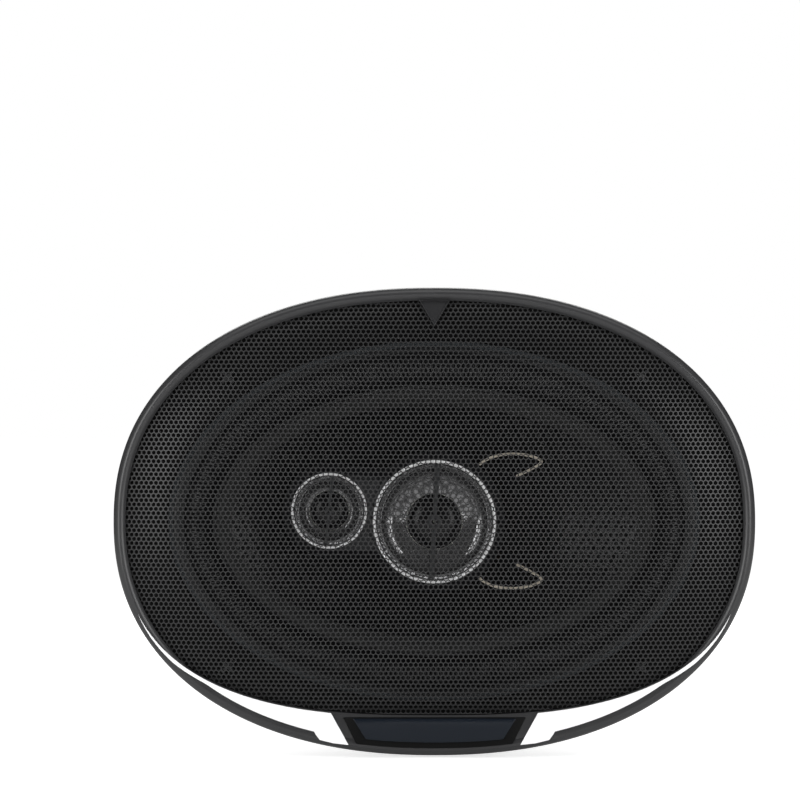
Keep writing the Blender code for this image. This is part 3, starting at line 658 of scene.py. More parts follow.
def make_surround():
    comb = pleat_comb()
    # (size, height, how much of the pleat shows)
    skin = [
        ((108.3, 72.7), 3.4, 0.0), ((105.6, 70.6), 3.5, 0.0), ((104.7, 69.9), 4.0, 0.25),
        ((103.8, 68.9), 5.6, 0.7), ((102.3, 67.0), 7.2, 1.0), ((100.6, 64.6), 8.0, 1.0),
        (CREST, 8.2, 1.0), ((98.0, 61.4), 7.9, 1.0), ((96.4, 59.7), 6.7, 0.9),
        ((95.2, 58.5), 4.6, 0.6), ((94.4, 57.8), 2.6, 0.25), ((93.6, 57.2), 1.6, 0.0),
        (RIM, 1.4, 0.0),
    ]
    rows = []
    for side, swell, drop in ((skin, PLEAT_SWELL, 0.0), (skin[::-1], 0.0, RUBBER)):
        for size, height, share in side:
            radius = oval_radius(surround_angles, *size) + swell * share * comb
            rows.append((radius, height + PLEAT_RISE * share * (comb - 0.8) - drop))
    return lofted("pleated_surround", surround_angles, rows)


surround = make_surround()


# %% [markdown]
# A share of the cone's movement is worked out for each point of the surround: none at its
# glued edge by the basket, all of it at its inner edge by the cone.

# %% The surround's shares of the cone's movement
def set_shares(shares):
    """Works out each point's share of the moving body's movement, from 0 to 1, smoothed; the result is
    not kept.
    """
    smooth = np.clip(shares, 0, 1)
    smooth = smooth * smooth * (3 - 2 * smooth)


finish(surround, surround_rubber, None, ["surround"])
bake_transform(surround)
place = points_of(surround)
angle = np.arctan2(place[:, 2], place[:, 0])
STILL_OVAL, MOVING_OVAL = (104.7, 69.9), (93.2, 56.9)
outer = oval_radius(angle, *STILL_OVAL)
inner = oval_radius(angle, *MOVING_OVAL)
set_shares((outer - np.hypot(place[:, 0], place[:, 2])) / (outer - inner))

# %% [markdown]
# ## The cone
#
# The cone is moulded with a smooth band round its rim and rows of small raised dimples, set
# like honeycomb, down its slope. A fine grid is the simplest start: everything outside the
# oval is deleted, the border is pulled onto the oval, and every point is then lifted to the
# cone's surface plus its dimple.

# %% The dimpled cone
EDGE = (86.0, 49.3)
NECK = 16.65
EDGE_LEVEL, NECK_LEVEL = -0.6, -31.0
DIMPLE_PITCH = 3.4
DIMPLE_HEIGHT = 1.25
GRID_STEP = 0.5
CONE_THICKNESS = 0.6


def cone_height(x, z):
    angle = np.arctan2(z, x)
    edge = oval_radius(angle, *EDGE)
    part = np.clip((edge - np.hypot(x, z)) / (edge - NECK), 0, 1)
    return EDGE_LEVEL + (NECK_LEVEL - EDGE_LEVEL) * part


def dimples(x, z):
    """Honeycomb bumps, from 0 between them to 1 at each tip."""
    k = 4 * math.pi / (math.sqrt(3) * DIMPLE_PITCH)
    total = 0.0
    for turn in (90, 210, 330):
        a = math.radians(turn)
        total = total + np.cos(k * (x * math.cos(a) + z * math.sin(a)))
    return np.clip((total + 1.5) / 4.5, 0, 1) ** 3.0


def make_cone():
    across = int(2 * EDGE[0] / GRID_STEP)
    upwards = int(2 * EDGE[1] / GRID_STEP)
    deselect_all()
    bpy.ops.mesh.primitive_grid_add(x_subdivisions=across, y_subdivisions=upwards, size=2.0)
    cone = bpy.context.object
    cone.name = "cone_skin"
    co = mesh_points(cone)
    x, z = co[:, 0] * EDGE[0], co[:, 1] * EDGE[1]
    angle, size = np.arctan2(z, x), np.hypot(x, z)
    edge = oval_radius(angle, *EDGE)
    keep = (size < edge + 0.3) & (size > NECK + 0.2)
    size = np.clip(size, NECK + 0.5, edge)
    size = np.where(size > edge - 0.3, edge, size)
    x, z = size * np.cos(angle), size * np.sin(angle)
    fade = np.clip((edge - size) / 2.5, 0, 1)
    set_points(cone, x, cone_height(x, z) + DIMPLE_HEIGHT * dimples(x, z) * fade, z)
    bpy.ops.object.mode_set(mode="EDIT")
    shape = bmesh.from_edit_mesh(cone.data)
    shape.verts.ensure_lookup_table()
    for vert in shape.verts:
        vert.select = not keep[vert.index]
    shape.select_flush_mode()
    bpy.ops.mesh.delete(type="VERT")
    bpy.ops.mesh.select_all(action="SELECT")
    bpy.ops.mesh.remove_doubles(threshold=0.0001)
    bpy.ops.mesh.normals_make_consistent(inside=False)
    bpy.ops.object.mode_set(mode="OBJECT")
    return cone


def thicken(item, thickness_mm):
    """Gives a sheet its thickness, away from the front, and turns its faces outwards."""
    pick(item)
    normal = np.zeros(len(item.data.polygons) * 3)
    item.data.polygons.foreach_get("normal", normal)
    facing_front = normal.reshape(-1, 3)[:, 1].mean() < 0
    wall = item.modifiers.new("wall", "SOLIDIFY")
    wall.thickness = thickness_mm * MM
    wall.offset = -1.0 if facing_front else 1.0
    bpy.ops.object.modifier_apply(modifier="wall")
    if not facing_front:
        edit_all(item)
        bpy.ops.mesh.flip_normals()
        bpy.ops.object.mode_set(mode="OBJECT")


cone = make_cone()
thicken(cone, CONE_THICKNESS)
finish(cone, cone_black, "cone_assembly", ["cone"], 60.0)

band_angles = even_angles(*RIM, 240)
band = ovals(
    "cone_rim_band",
    [
        ((94.0, 57.6), 0.7), ((92.4, 56.1), 0.8), ((92.2, 55.9), 1.3), ((91.8, 55.5), 1.5),
        ((90.0, 53.6), 1.5), ((88.6, 52.1), 1.1), ((86.7, 50.0), 0.1), ((86.2, 49.5), -0.1),
        ((85.7, 49.0), -0.4), ((85.5, 48.8), -1.3), ((88.6, 52.1), 0.0), ((94.0, 57.6), 0.2),
    ],
    band_angles,
)
finish(band, band_black, "cone_assembly")

# %% [markdown]
# ## The tweeter pod
#
# The pod stands on a post in the middle of the cone. Its housing is a figure of eight: the
# union of a big disc and of a row of smaller discs that makes the waist. The skirt round it
# is ribbed like the edge of a coin, so the outline is walked at equal steps and every step
# of the skirt moves in and out a little.

# %% The pod's outline
MID = centre_of("mid_ring")
TWEETER = centre_of("tweeter_ring")
POD_MIDDLE = (-22.0, 2.0)
POD_REAR, POD_FRONT = heights("pod_housing")
POD_EDGE = POD_FRONT - 2.5
BIG_DISC = 30.0
# the row of smaller discs runs from the tweeter to here, and narrows a little on the way
ROW_END = (-8.0, 2.0)
ROW_DISC, ROW_NARROWING = 20.0, 1.4
MID_WELL, TWEETER_WELL = 24.4, 14.6


def pod_radius(angles):
    """The outline's distance from the pod's middle at polar angles."""
    discs = [(MID, BIG_DISC)]
    for part in np.linspace(0, 1, 25):
        x = TWEETER[0] + (ROW_END[0] - TWEETER[0]) * part
        z = TWEETER[1] + (ROW_END[1] - TWEETER[1]) * part
        discs.append(((x, z), ROW_DISC - ROW_NARROWING * part))
    far = np.zeros(angles.shape)
    for (x, z), size in discs:
        along = (x - POD_MIDDLE[0]) * np.cos(angles) + (z - POD_MIDDLE[1]) * np.sin(angles)
        away = (x - POD_MIDDLE[0]) ** 2 + (z - POD_MIDDLE[1]) ** 2 - along**2
        spare = size**2 - away
        far = np.where(spare > 0, np.maximum(far, along + np.sqrt(np.maximum(spare, 0))), far)
    return far


def even_walk(outline, count):
    """The outline again with equally spaced points, and the direction outwards at each."""
    closed = np.vstack([outline, outline[:1]])
    along = np.concatenate([[0], np.cumsum(np.linalg.norm(np.diff(closed, axis=0), axis=1))])
    at = np.arange(count) * along[-1] / count
    walk = np.stack([np.interp(at, along, closed[:, k]) for k in (0, 1)], 1)
    ahead = np.roll(walk, -2, 0) - np.roll(walk, 2, 0)
    outwards = np.stack([ahead[:, 1], -ahead[:, 0]], 1)
    return walk, outwards / np.linalg.norm(outwards, axis=1)[:, None], along[-1]


RIBS = 132
STEPS_PER_RIB = 6
fine_angles = turns(2880)
fine = pod_radius(fine_angles)
fine_line = np.stack([
    POD_MIDDLE[0] + fine * np.cos(fine_angles), POD_MIDDLE[1] + fine * np.sin(fine_angles)
], 1)
pod_walk, pod_out, pod_length = even_walk(fine_line, RIBS * STEPS_PER_RIB)
print(f"the pod is {pod_length:.0f} mm round, with a rib every {pod_length / RIBS:.2f} mm")


# %% The housing
def pod_ring(grow, height):
    """A ring of the pod, grown outwards by that much at each point."""
    moved = pod_walk + pod_out * np.broadcast_to(grow, len(pod_walk))[:, None]
    tall = np.broadcast_to(height, len(pod_walk))
    return np.stack([moved[:, 0], tall, moved[:, 1]], 1)


def make_pod():
    share = (np.arange(len(pod_walk)) % STEPS_PER_RIB) / STEPS_PER_RIB
    tooth = np.sin(math.pi * share)
    rings = [
        pod_ring(-1.2, POD_REAR),
        pod_ring(-0.3, POD_REAR + 0.9),
        pod_ring(-0.3, POD_EDGE - 1.4),
        pod_ring(-0.5 + 0.55 * tooth, POD_EDGE - 0.9),
        pod_ring(-0.5 + 0.6 * tooth, POD_EDGE - 0.1),
        pod_ring(-0.9 + 0.35 * tooth, POD_EDGE + 0.25 + 0.3 * tooth),
        pod_ring(-2.1, POD_EDGE + 1.05 + 0.35 * tooth),
        pod_ring(-3.3, POD_FRONT - 0.45 + 0.3 * tooth),
        pod_ring(-3.6, POD_FRONT - 0.1 + 0.1 * tooth),
        pod_ring(-3.9, POD_FRONT),
    ]
    pod = sweep("tweeter_pod", rings, close="cap")
    for centre, bore in ((MID, MID_WELL), (TWEETER, TWEETER_WELL)):
        cut_away(pod, turned("well", [(bore, POD_FRONT + 4), (bore, -0.5)], centre, 120, "cap"))
    return pod


pod = make_pod()
finish(pod, pod_plastic, "speaker", ["pod_housing"], 25.0)

# %% The waist plate between the two rings
MID_GAP, TWEETER_GAP = 0.3, 0.25


def make_waist(name, outline, rise, stands_for=()):
    plate = prism(name, outline, POD_FRONT + 0.3, POD_FRONT + rise)
    for kind, centre, gap in (("mid", MID, MID_GAP), ("tweeter", TWEETER, TWEETER_GAP)):
        size = half_size(f"{kind}_ring")[0] + gap
        bite = turned("bite", [(size, POD_FRONT + 6), (size, POD_FRONT - 4)], centre, 120, "cap")
        cut_away(plate, bite)
    round_edges(plate, 0.15, 1, 40.0)
    finish(plate, waist_grey, "speaker", stands_for)


CREASE = [(-21.8, 17.4), (-25.7, 9.2), (-25.5, 6.1), (-27.1, -3.3), (-24.9, -12.4)]
waist_outline = [(x - 0.35, z) for x, z in CREASE] + [(-44.0, -11.4), (-44.0, 18.2)]
make_waist("waist_plate_top", waist_outline, 0.95, ["waist_plate"])
make_waist("waist_plate_step", CREASE + [(-17.5, -13.2), (-17.5, 17.0)], 1.05)

# %% [markdown]
# ## The two small drivers
#
# The mid unit and the tweeter are the same design in two sizes: a bright ring, a polished
# black horn, a film dome with its own small roll, and a bridge that carries a hollow bullet
# over the dome. One function makes a driver, and is called twice.

# %% The shapes of a driver
FILM = 0.35
FILM_LEVEL = 5.65
# (share of the ring's width, depth below its front): two rounded lips with a groove between
RING_FACE = [
    (0.0, 0.45), (0.12, 0.12), (0.26, 0.0), (0.40, 0.1), (0.5, 0.32), (0.60, 0.1),
    (0.74, 0.0), (0.9, 0.15), (1.0, 0.5),
]


def make_ring(name, centre, outer, inner, low, high):
    face = [(outer - share * (outer - inner), high - depth) for share, depth in RING_FACE]
    return turned(name, [(outer, low)] + face + [(inner, low)], centre, 144)


def make_horn(name, centre, outer, throat):
    """A deep bowl with a flat black shoulder under the ring."""
    profile = [(outer, 11.2), (outer, 10.2)]
    profile += [(outer - 0.4 * (outer - throat), 6.9), (throat + 0.4, 5.0)]
    profile += [(throat, 5.0), (throat, 5.9)]
    for k in range(1, 13):
        turn = math.radians(90 * k / 12)
        reach = throat + (outer - 1.9 - throat) * math.sin(turn)
        profile.append((reach, 5.9 + 4.6 * (1 - math.cos(turn)) ** 0.9))
    profile += [(outer - 1.7, 10.75), (outer - 1.4, 10.6), (outer - 0.9, 10.6), (outer - 0.7, 11.2)]
    return turned(name, profile, centre, 144)


def make_dome(name, centre, size, low):
    """A film dome with a half roll round it."""
    rise = 0.3 * size
    front = [(size + 2.0, low), (size + 1.7, low + 0.1)]
    for t in np.linspace(0.3, 2.8, 7):
        front.append((size + 1.05 + 0.55 * math.cos(t), low + 0.65 * math.sin(t)))
    front.append((size + 0.2, low + 0.05))
    for t in np.linspace(0.06, 1.5, 12):
        front.append((size * math.cos(t), low + 0.1 + rise * math.sin(t)))
    back = [(r, h - FILM) for r, h in reversed(front)]
    return turned(name, front + back, centre)


def make_bridge(name, centre, inner, bullet, tilt, rise):
    """A tapering bar across the mouth and a hollow bullet in its middle."""
    top = POD_FRONT + 1.4
    profile = [
        (0.42 * bullet, top - 0.1), (0.5 * bullet, top), (0.8 * bullet, top),
        (0.95 * bullet, top - 0.15), (bullet, top - 0.5), (bullet, 7.9 + rise),
        (0.85 * bullet, 7.2 + rise), (0.5 * bullet, 6.8 + rise), (0.42 * bullet, 6.9 + rise),
    ]
    body = turned(name, profile, centre, 64)
    turn = math.radians(tilt)
    wide, narrow = 0.42 * bullet, 0.27 * bullet
    near, far = 0.7 * bullet, inner - 0.6
    ends = [(-narrow, near), (narrow, near), (wide, far), (-wide, far)]
    for side in (1, -1):
        outline = []
        for x, z in ends:
            z = side * z
            outline.append((
                centre[0] + x * math.cos(turn) + z * math.sin(turn),
                centre[1] - x * math.sin(turn) + z * math.cos(turn),
            ))
        bar = prism("bar", outline, POD_FRONT + 0.05, POD_FRONT + 1.05)
        round_edges(bar, 0.2, 2, 40.0)
        cut_away(body, bar, "UNION")
    return body


# %% Both drivers
def make_driver(kind, ring_width, dome, bullet, tilt):
    """A driver: its ring's width, its dome's and its bullet's radius, and the bridge's tilt."""
    centre = centre_of(f"{kind}_ring")
    outer = half_size(f"{kind}_ring")[0]
    inner = outer - ring_width
    low, high = heights(f"{kind}_ring")
    ring = make_ring(f"{kind}_bright_ring", centre, outer, inner, low, high)
    finish(ring, bright_silver, "speaker", [f"{kind}_ring"], 60.0)
    horn = make_horn(f"{kind}_horn_bowl", centre, half_size(f"{kind}_horn")[0], dome + 2.4)
    finish(horn, gloss_black, "speaker", [f"{kind}_horn"], 50.0)
    film = make_dome(f"{kind}_film_dome", centre, dome, FILM_LEVEL)
    finish(film, dome_film, f"{kind}_diaphragm", [f"{kind}_dome"], 60.0)
    bridge = make_bridge(f"{kind}_bridge_bar", centre, inner, bullet, tilt, 0.3 * dome)
    finish(bridge, bridge_grey, "speaker", [f"{kind}_bridge"], 40.0)


make_driver("mid", 1.4, 9.6, 3.1, 3.0)
make_driver("tweeter", 1.1, 6.2, 1.9, 5.0)

# %% [markdown]
# ## Leads and eyelets
#
# Two braided leads leave the pod, arch over the cone and end in drops of black cement. Two
# more leave the same spots behind the cone and run out to the terminals. Each point's share
# of the cone's movement is worked out, growing along the lead.

# %% The leads
LEAD_RADIUS = 0.6


def cone_spot(x, z, above):
    """A spot on the cone, lifted by so many millimetres."""
    return (x, float(cone_height(x, z)) + above, z)


def make_lead(name, route, moving_end_first, stands_for):
    """A round lead through (x, height, z) points."""
    line = curve_through(route, 8)
    deselect_all()
    bpy.ops.curve.primitive_bezier_curve_add()
    curve = bpy.context.object
    curve.name = name
    curve.data.splines.clear()
    spline = curve.data.splines.new("POLY")
    spline.points.add(len(line) - 1)
    for target, row in zip(spline.points, to_row_frame(line)):
        target.co = (*row, 1.0)
    curve.data.bevel_depth = LEAD_RADIUS * MM
    curve.data.bevel_resolution = 4
    curve.data.use_fill_caps = True
    bpy.ops.object.convert(target="MESH")
    lead = bpy.context.object
    edit_all(lead)
    bpy.ops.mesh.remove_doubles(threshold=1e-6)
    bpy.ops.object.mode_set(mode="OBJECT")
    face_outwards(lead)
    finish(lead, lead_braid, None, [stands_for], 60.0)
    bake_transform(lead)
    place = points_of(lead)
    nearest = np.argmin(((place[:, None, :] - line[None, :, :]) ** 2).sum(2), axis=1)
    share = nearest / (len(line) - 1)
    set_shares(1 - share if moving_end_first else share)
    length = np.linalg.norm(np.diff(line, axis=0), axis=1).sum()
    print(f"{name} is {length:.0f} mm long")


for word, side in (("upper", 1), ("lower", -1)):
    front = [
        (19.0, 5.6, side * 24.0), (20.6, 5.0, side * 25.2), (25.0, 3.8, side * 27.3),
        (32.0, 0.0, side * 28.4), (39.5, -4.0, side * 27.8), (44.6, -7.2, side * 26.0),
        (45.2, -9.0, side * 24.4), cone_spot(41.5, side * 22.0, 2.6),
        cone_spot(37.6, side * 20.0, 2.0), cone_spot(35.2, side * 18.9, 1.7),
    ]
    make_lead(f"pod_lead_{word}", front, False, f"front_lead_{word}")
    rear = [
        cone_spot(32.6, side * 17.4, -2.2), cone_spot(37.6, side * 17.4, -5.0),
        (50.0, -26.5, side * 15.0), (62.0, -28.0, side * 13.2), (74.0, -26.5, side * 12.4),
        (84.0, -21.5, side * 12.2), (93.2, -16.4, side * 12.2),
    ]
    make_lead(f"terminal_lead_{word}", rear, True, f"rear_lead_{word}")


# %% The drops of cement
DROP_AT = (31.8, 17.6)
DROP_SIZE = (4.9, 2.3, 3.6)


def make_drop(name, side, stands_for):
    """A flattened, slightly uneven drop that follows the cone's slope."""
    deselect_all()
    bpy.ops.mesh.primitive_uv_sphere_add(segments=40, ring_count=20, radius=1.0)
    drop = bpy.context.object
    drop.name = name
    co = mesh_points(drop)
    angle = np.arctan2(co[:, 1], co[:, 0])
    uneven = 1 + 0.08 * np.sin(3 * angle + side) + 0.05 * np.sin(5 * angle)
    x = DROP_AT[0] + DROP_SIZE[0] * co[:, 0] * uneven
    z = side * DROP_AT[1] + DROP_SIZE[2] * co[:, 1] * uneven
    lift = np.maximum(co[:, 2], -0.15) * DROP_SIZE[1]
    set_points(drop, x, cone_height(x, z) + 0.5 + lift, z)
    face_outwards(drop)
    finish(drop, black_cement, "cone_assembly", [stands_for], 60.0)


make_drop("cement_upper", 1, "eyelet_upper")
make_drop("cement_lower", -1, "eyelet_lower")

# %% [markdown]
# ## The grille
#
# The grille's frame is a moulded oval hoop. Its outline is a superellipse, a little squarer
# than an ellipse. The lower edge of the opening is flatter still, which leaves a shelf for
# two bright strips and a plaque.

# %% The grille's outlines
OUTLINE = (*half_size("grille_frame"), 2.23)
OPENING = (131.0, 94.0, 2.23)
LOWER = (131.0, 81.6, 2.7)
frame_angles = even_angles(OUTLINE[0], OUTLINE[1], 480, OUTLINE[2])


def opening_radius(angles):
    rim = oval_radius(angles, *OPENING)
    lower = np.minimum(rim, oval_radius(angles, *LOWER))
    return np.where(np.sin(angles) >= 0, rim, lower)


# %% The frame
def make_frame():
    outer = oval_radius(frame_angles, *OUTLINE)
    rim = oval_radius(frame_angles, *OPENING)
    hole = opening_radius(frame_angles)
    low, high = heights("grille_frame")
    shelf = np.minimum(rim - 0.9, hole + 0.9)
    rows = [
        (outer - 0.5, low), (outer - 0.1, low + 0.4), (outer, low + 1.2), (outer, high - 3.4),
        (outer - 0.25, high - 2.4), (outer - 0.9, high - 1.3), (outer - 1.9, high - 0.4),
        (outer - 2.6, high), (outer - 3.2, high - 0.05), (rim + 0.2, high - 0.5),
        (rim - 0.2, high - 0.9), (np.minimum(rim - 0.6, hole + 2.0), high - 1.2),
        (shelf, high - 1.5), (hole + 0.1, high - 1.9),
        (hole, high - 2.4), (hole, high - 3.6), (np.minimum(outer - 4.6, hole + 1.6), high - 3.8),
        (outer - 2.8, high - 4.8), (outer - 2.2, low + 0.3), (outer - 1.9, low),
    ]
    return lofted("grille_hoop", frame_angles, rows)


hoop = make_frame()
# the hoop wears the lighter copy of the grille plastic: painted light
finish(hoop, lit_satin_plastic, "grille", ["grille_frame"], 40.0)

# %% [markdown]
# A flat black ring lies behind the mesh, outside the flange, so that no light shows through.

# %% The base ring behind the mesh
BASE_INSET = 3.3
BASE_HOLE = (112.4, 76.2)
base_low, base_high = heights("grille_base")
base_outer = oval_radius(
    frame_angles, OUTLINE[0] - BASE_INSET, OUTLINE[1] - BASE_INSET, OUTLINE[2],
)
base_inner = oval_radius(frame_angles, *BASE_HOLE)
base = lofted("black_base_ring", frame_angles, [
    (base_outer, base_low), (base_outer, base_high), (base_inner + 0.5, base_high),
    (base_inner, base_high - 0.3), (base_inner, base_low),
])
finish(base, shade_and_trim_black, "grille", ["grille_base"], 30.0)

# %% [markdown]
# The mesh is punched steel: hexagonal holes in rows, with a thin web between them. One hole
# is modelled as a ring of six faces and three Array modifiers repeat it. The sheet is then
# trimmed to the opening, pressed into its dome by a formula, and given its thickness.

# %% One hole, repeated
PITCH = 2.1
HOLE_ACROSS = 1.68
CORNER = PITCH / math.sqrt(3)


def array(item, name, count, offset):
    repeat = item.modifiers.new(name, "ARRAY")
    repeat.count = count
    repeat.use_relative_offset = False
    repeat.use_constant_offset = True
    repeat.constant_offset_displace = offset
    pick(item)
    bpy.ops.object.modifier_apply(modifier=name)


def make_honeycomb():
    columns = int(2 * OPENING[0] / PITCH) + 4
    double_rows = int(OPENING[1] * 2 / (3 * CORNER)) + 2
    deselect_all()
    bpy.ops.mesh.primitive_circle_add(vertices=6, radius=CORNER * MM)
    sheet = bpy.context.object
    sheet.name = "steel_mesh"
    bpy.ops.object.mode_set(mode="EDIT")
    bpy.ops.mesh.extrude_region_move()
    bpy.ops.transform.resize(value=(HOLE_ACROSS / PITCH,) * 3)
    bpy.ops.object.mode_set(mode="OBJECT")
    array(sheet, "second_row", 2, (PITCH / 2 * MM, 1.5 * CORNER * MM, 0))
    array(sheet, "columns", columns, (PITCH * MM, 0, 0))
    array(sheet, "rows", double_rows, (0, 3 * CORNER * MM, 0))
    co = mesh_points(sheet) / MM
    x = co[:, 0] - (columns // 2 + 0.25) * PITCH
    z = co[:, 1] - (double_rows // 2) * 3 * CORNER
    set_points(sheet, x, np.zeros(len(co)), z)
    return sheet


# %% Trim the sheet and press its dome
MESH_INSET = 0.35
MESH_THICKNESS = 0.75
DOME_FOOT, DOME_RISE = 7.2, 11.3
DOME_SLOPE = 28.0


def dome_height(x, z):
    """The mesh's height: steep at the rim, flat in the middle."""
    angle = np.arctan2(z, x)
    inset = opening_radius(angle) - np.hypot(x, z)
    part = np.clip((inset - 1.0) / DOME_SLOPE, 0, 1)
    return DOME_FOOT + DOME_RISE * np.sin(math.pi / 2 * part**0.9)


def trim_and_press(sheet):
    edit_all(sheet)
    bpy.ops.mesh.remove_doubles(threshold=0.00002)
    bpy.ops.mesh.select_all(action="DESELECT")
    bpy.ops.mesh.select_mode(type="FACE")
    shape = bmesh.from_edit_mesh(sheet.data)
    for face in shape.faces:
        middle = face.calc_center_median() / MM
        limit = float(opening_radius(np.arctan2(middle.z, middle.x))) - MESH_INSET
        face.select = math.hypot(middle.x, middle.z) > limit + 0.1
    shape.select_flush_mode()
    bpy.ops.mesh.delete(type="FACE")
    bpy.ops.mesh.select_mode(type="VERT")
    bpy.ops.object.mode_set(mode="OBJECT")
    place = points_of(sheet)
    angle, size = np.arctan2(place[:, 2], place[:, 0]), np.hypot(place[:, 0], place[:, 2])
    size = np.minimum(size, opening_radius(angle) - MESH_INSET)
    x, z = size * np.cos(angle), size * np.sin(angle)
    set_points(sheet, x, dome_height(x, z), z)
    sheet.data.update()


def split_at_middle(sheet):
    """Two halves, so that neither has too many faces."""
    pick(sheet)
    bpy.ops.object.mode_set(mode="EDIT")
    bpy.ops.mesh.select_mode(type="FACE")
    bpy.ops.mesh.select_all(action="DESELECT")
    shape = bmesh.from_edit_mesh(sheet.data)
    for face in shape.faces:
        face.select = face.calc_center_median().x > 0
    shape.select_flush_mode()
    bpy.ops.mesh.separate(type="SELECTED")
    bpy.ops.mesh.select_mode(type="VERT")
    bpy.ops.object.mode_set(mode="OBJECT")
    return list(bpy.context.selected_objects)


sheet = make_honeycomb()
trim_and_press(sheet)
for half in split_at_middle(sheet):
    right = points_of(half)[:, 0].mean() > 0
    half.name = "steel_mesh_right" if right else "steel_mesh_left"
    edit_all(half)
    bpy.ops.mesh.normals_make_consistent(inside=False)
    bpy.ops.object.mode_set(mode="OBJECT")
    thicken(half, MESH_THICKNESS)
    finish(half, mesh_coat, "grille", ["grille_mesh"], 30.0)


# %% [markdown]
# The trim on the shelf: two bright strips that narrow towards their tips, a bezel with a
# blank gloss plaque, and a small dark wedge at the top.

# %% The bright strips
# (x, z) of a strip's pointed tip, of its inner end on the upper edge, and of its lower step
STRIP_TIP, STRIP_END, STRIP_STEP = (123.5, -38.5), (43.5, -80.4), (50.8, -88.5)
STRIP_FOOT = [(36.2, -94.0), (42.6, -93.3), (48.3, -91.9), (50.0, -89.6)]
STRIP_POINTS = 40


def bearing(point):
    return math.atan2(point[1], point[0])


def strip_outline(side):
    """The right strip's outline, or its mirror image."""
    upper_turns = np.linspace(bearing(STRIP_TIP), bearing(STRIP_END), STRIP_POINTS)[1:]
    upper = oval_radius(upper_turns, *LOWER) + 0.6
    lower_turns = np.linspace(bearing(STRIP_TIP), bearing(STRIP_STEP), STRIP_POINTS)
    ramp = np.minimum(1.0, np.arange(STRIP_POINTS) / 10)
    inner = oval_radius(lower_turns, *LOWER) + 0.6 + 1.6 * ramp
    lower = np.maximum(oval_radius(lower_turns, *OPENING) - 0.4, inner)
    points = [(s * math.cos(t), s * math.sin(t)) for s, t in zip(upper, upper_turns)]
    points += STRIP_FOOT
    points += [(s * math.cos(t), s * math.sin(t)) for s, t in zip(lower[::-1], lower_turns[::-1])]
    return [(side * x, z) for x, z in points]


for word, side in (("right", 1), ("left", -1)):
    low, high = heights(f"accent_{word}")
    strip = prism(f"bright_strip_{word}", strip_outline(side), low - 1.2, high)
    round_edges(strip, 0.25, 2, 40.0)
    finish(strip, accent_silver, "grille", [f"accent_{word}"], 30.0)


# %% The plaque and its bezel
BEZEL_TOP = -82.4
BEZEL_HALF_TOP, BEZEL_HALF_FOOT = 38.5, 33.0
FOOT_LEVEL = -95.0


def plaque_outline(inset_side, inset_top, inset_foot):
    """A shape with a straight top whose foot follows the frame's outline."""
    foot_sizes = (OUTLINE[0] - inset_foot, OUTLINE[1] - inset_foot, OUTLINE[2])
    top, half_top = BEZEL_TOP - inset_top, BEZEL_HALF_TOP - inset_side
    half_foot = BEZEL_HALF_FOOT - inset_side
    points = [(-half_top, top), (half_top, top)]
    for x in np.linspace(half_foot, -half_foot, 25):
        turn = math.atan2(FOOT_LEVEL, x)
        points.append((x, float(oval_radius(turn, *foot_sizes)) * math.sin(turn)))
    return points


bezel_low, bezel_high = heights("badge_bezel")
bezel = prism("plaque_bezel", plaque_outline(0.0, 0.0, 3.2), bezel_low - 1.4, bezel_high)
round_edges(bezel, 0.3, 2, 40.0)
finish(bezel, shade_and_trim_black, "grille", ["badge_bezel"], 30.0)
plaque_low, plaque_high = heights("badge_plaque")
plaque = prism("blank_plaque", plaque_outline(4.0, 0.4, 5.6), plaque_low, plaque_high)
round_edges(plaque, 0.7, 4, 40.0)
finish(plaque, badge_gloss, "grille", ["badge_plaque"], 40.0)


# %% The wedge at the top
def make_wedge():
    """A thin raised edge round a face that is sunk below it."""
    base = np.array([(-6.7, 9.8, 93.2), (0.0, 14.4, 82.0), (6.7, 9.8, 93.2)])
    middle = base.mean(0)

    def shrunk(share, lift):
        return middle + (base - middle) * np.array([share, 1.0, share]) + np.array([0, lift, 0])

    edge_and_face = [shrunk(0.93, 0.7), shrunk(0.88, 0.7), shrunk(0.84, 0.1)]
    return sweep("top_wedge", [shrunk(1.0, -1.6), base] + edge_and_face, "cap")


wedge = make_wedge()
# the wedge wears the darker copy of the grille plastic: painted shade in its sunk face
finish(wedge, grille_plastic, "grille", ["triangle_mark"], 20.0)


# %% [markdown]
# Behind the mesh stand four cross-ribbed posts, and two springy arms reach back beside the
# flange. Both are plain mouldings, so a box each, a second one joined across it, and rounded
# edges are enough.

# %% Posts and arms
RIB_SPAN, RIB_WIDTH = 7.0, 1.4
ARM_AT, LEG_AT = (124.9, 3.6), (120.0, 2.3)


def box_piece(name, size, place, turn_degrees=0.0):
    """A box: size across X, along the axis and along Z, turned about the speaker's axis."""
    deselect_all()
    bpy.ops.mesh.primitive_cube_add(size=1.0)
    item = bpy.context.object
    item.name = name
    turn = Matrix.Rotation(math.radians(turn_degrees), 4, "Y")
    shift = Matrix.Translation((place[0] * MM, -place[1] * MM, place[2] * MM))
    item.data.transform(shift @ turn @ Matrix.Diagonal((*[s * MM for s in size], 1.0)))
    return item


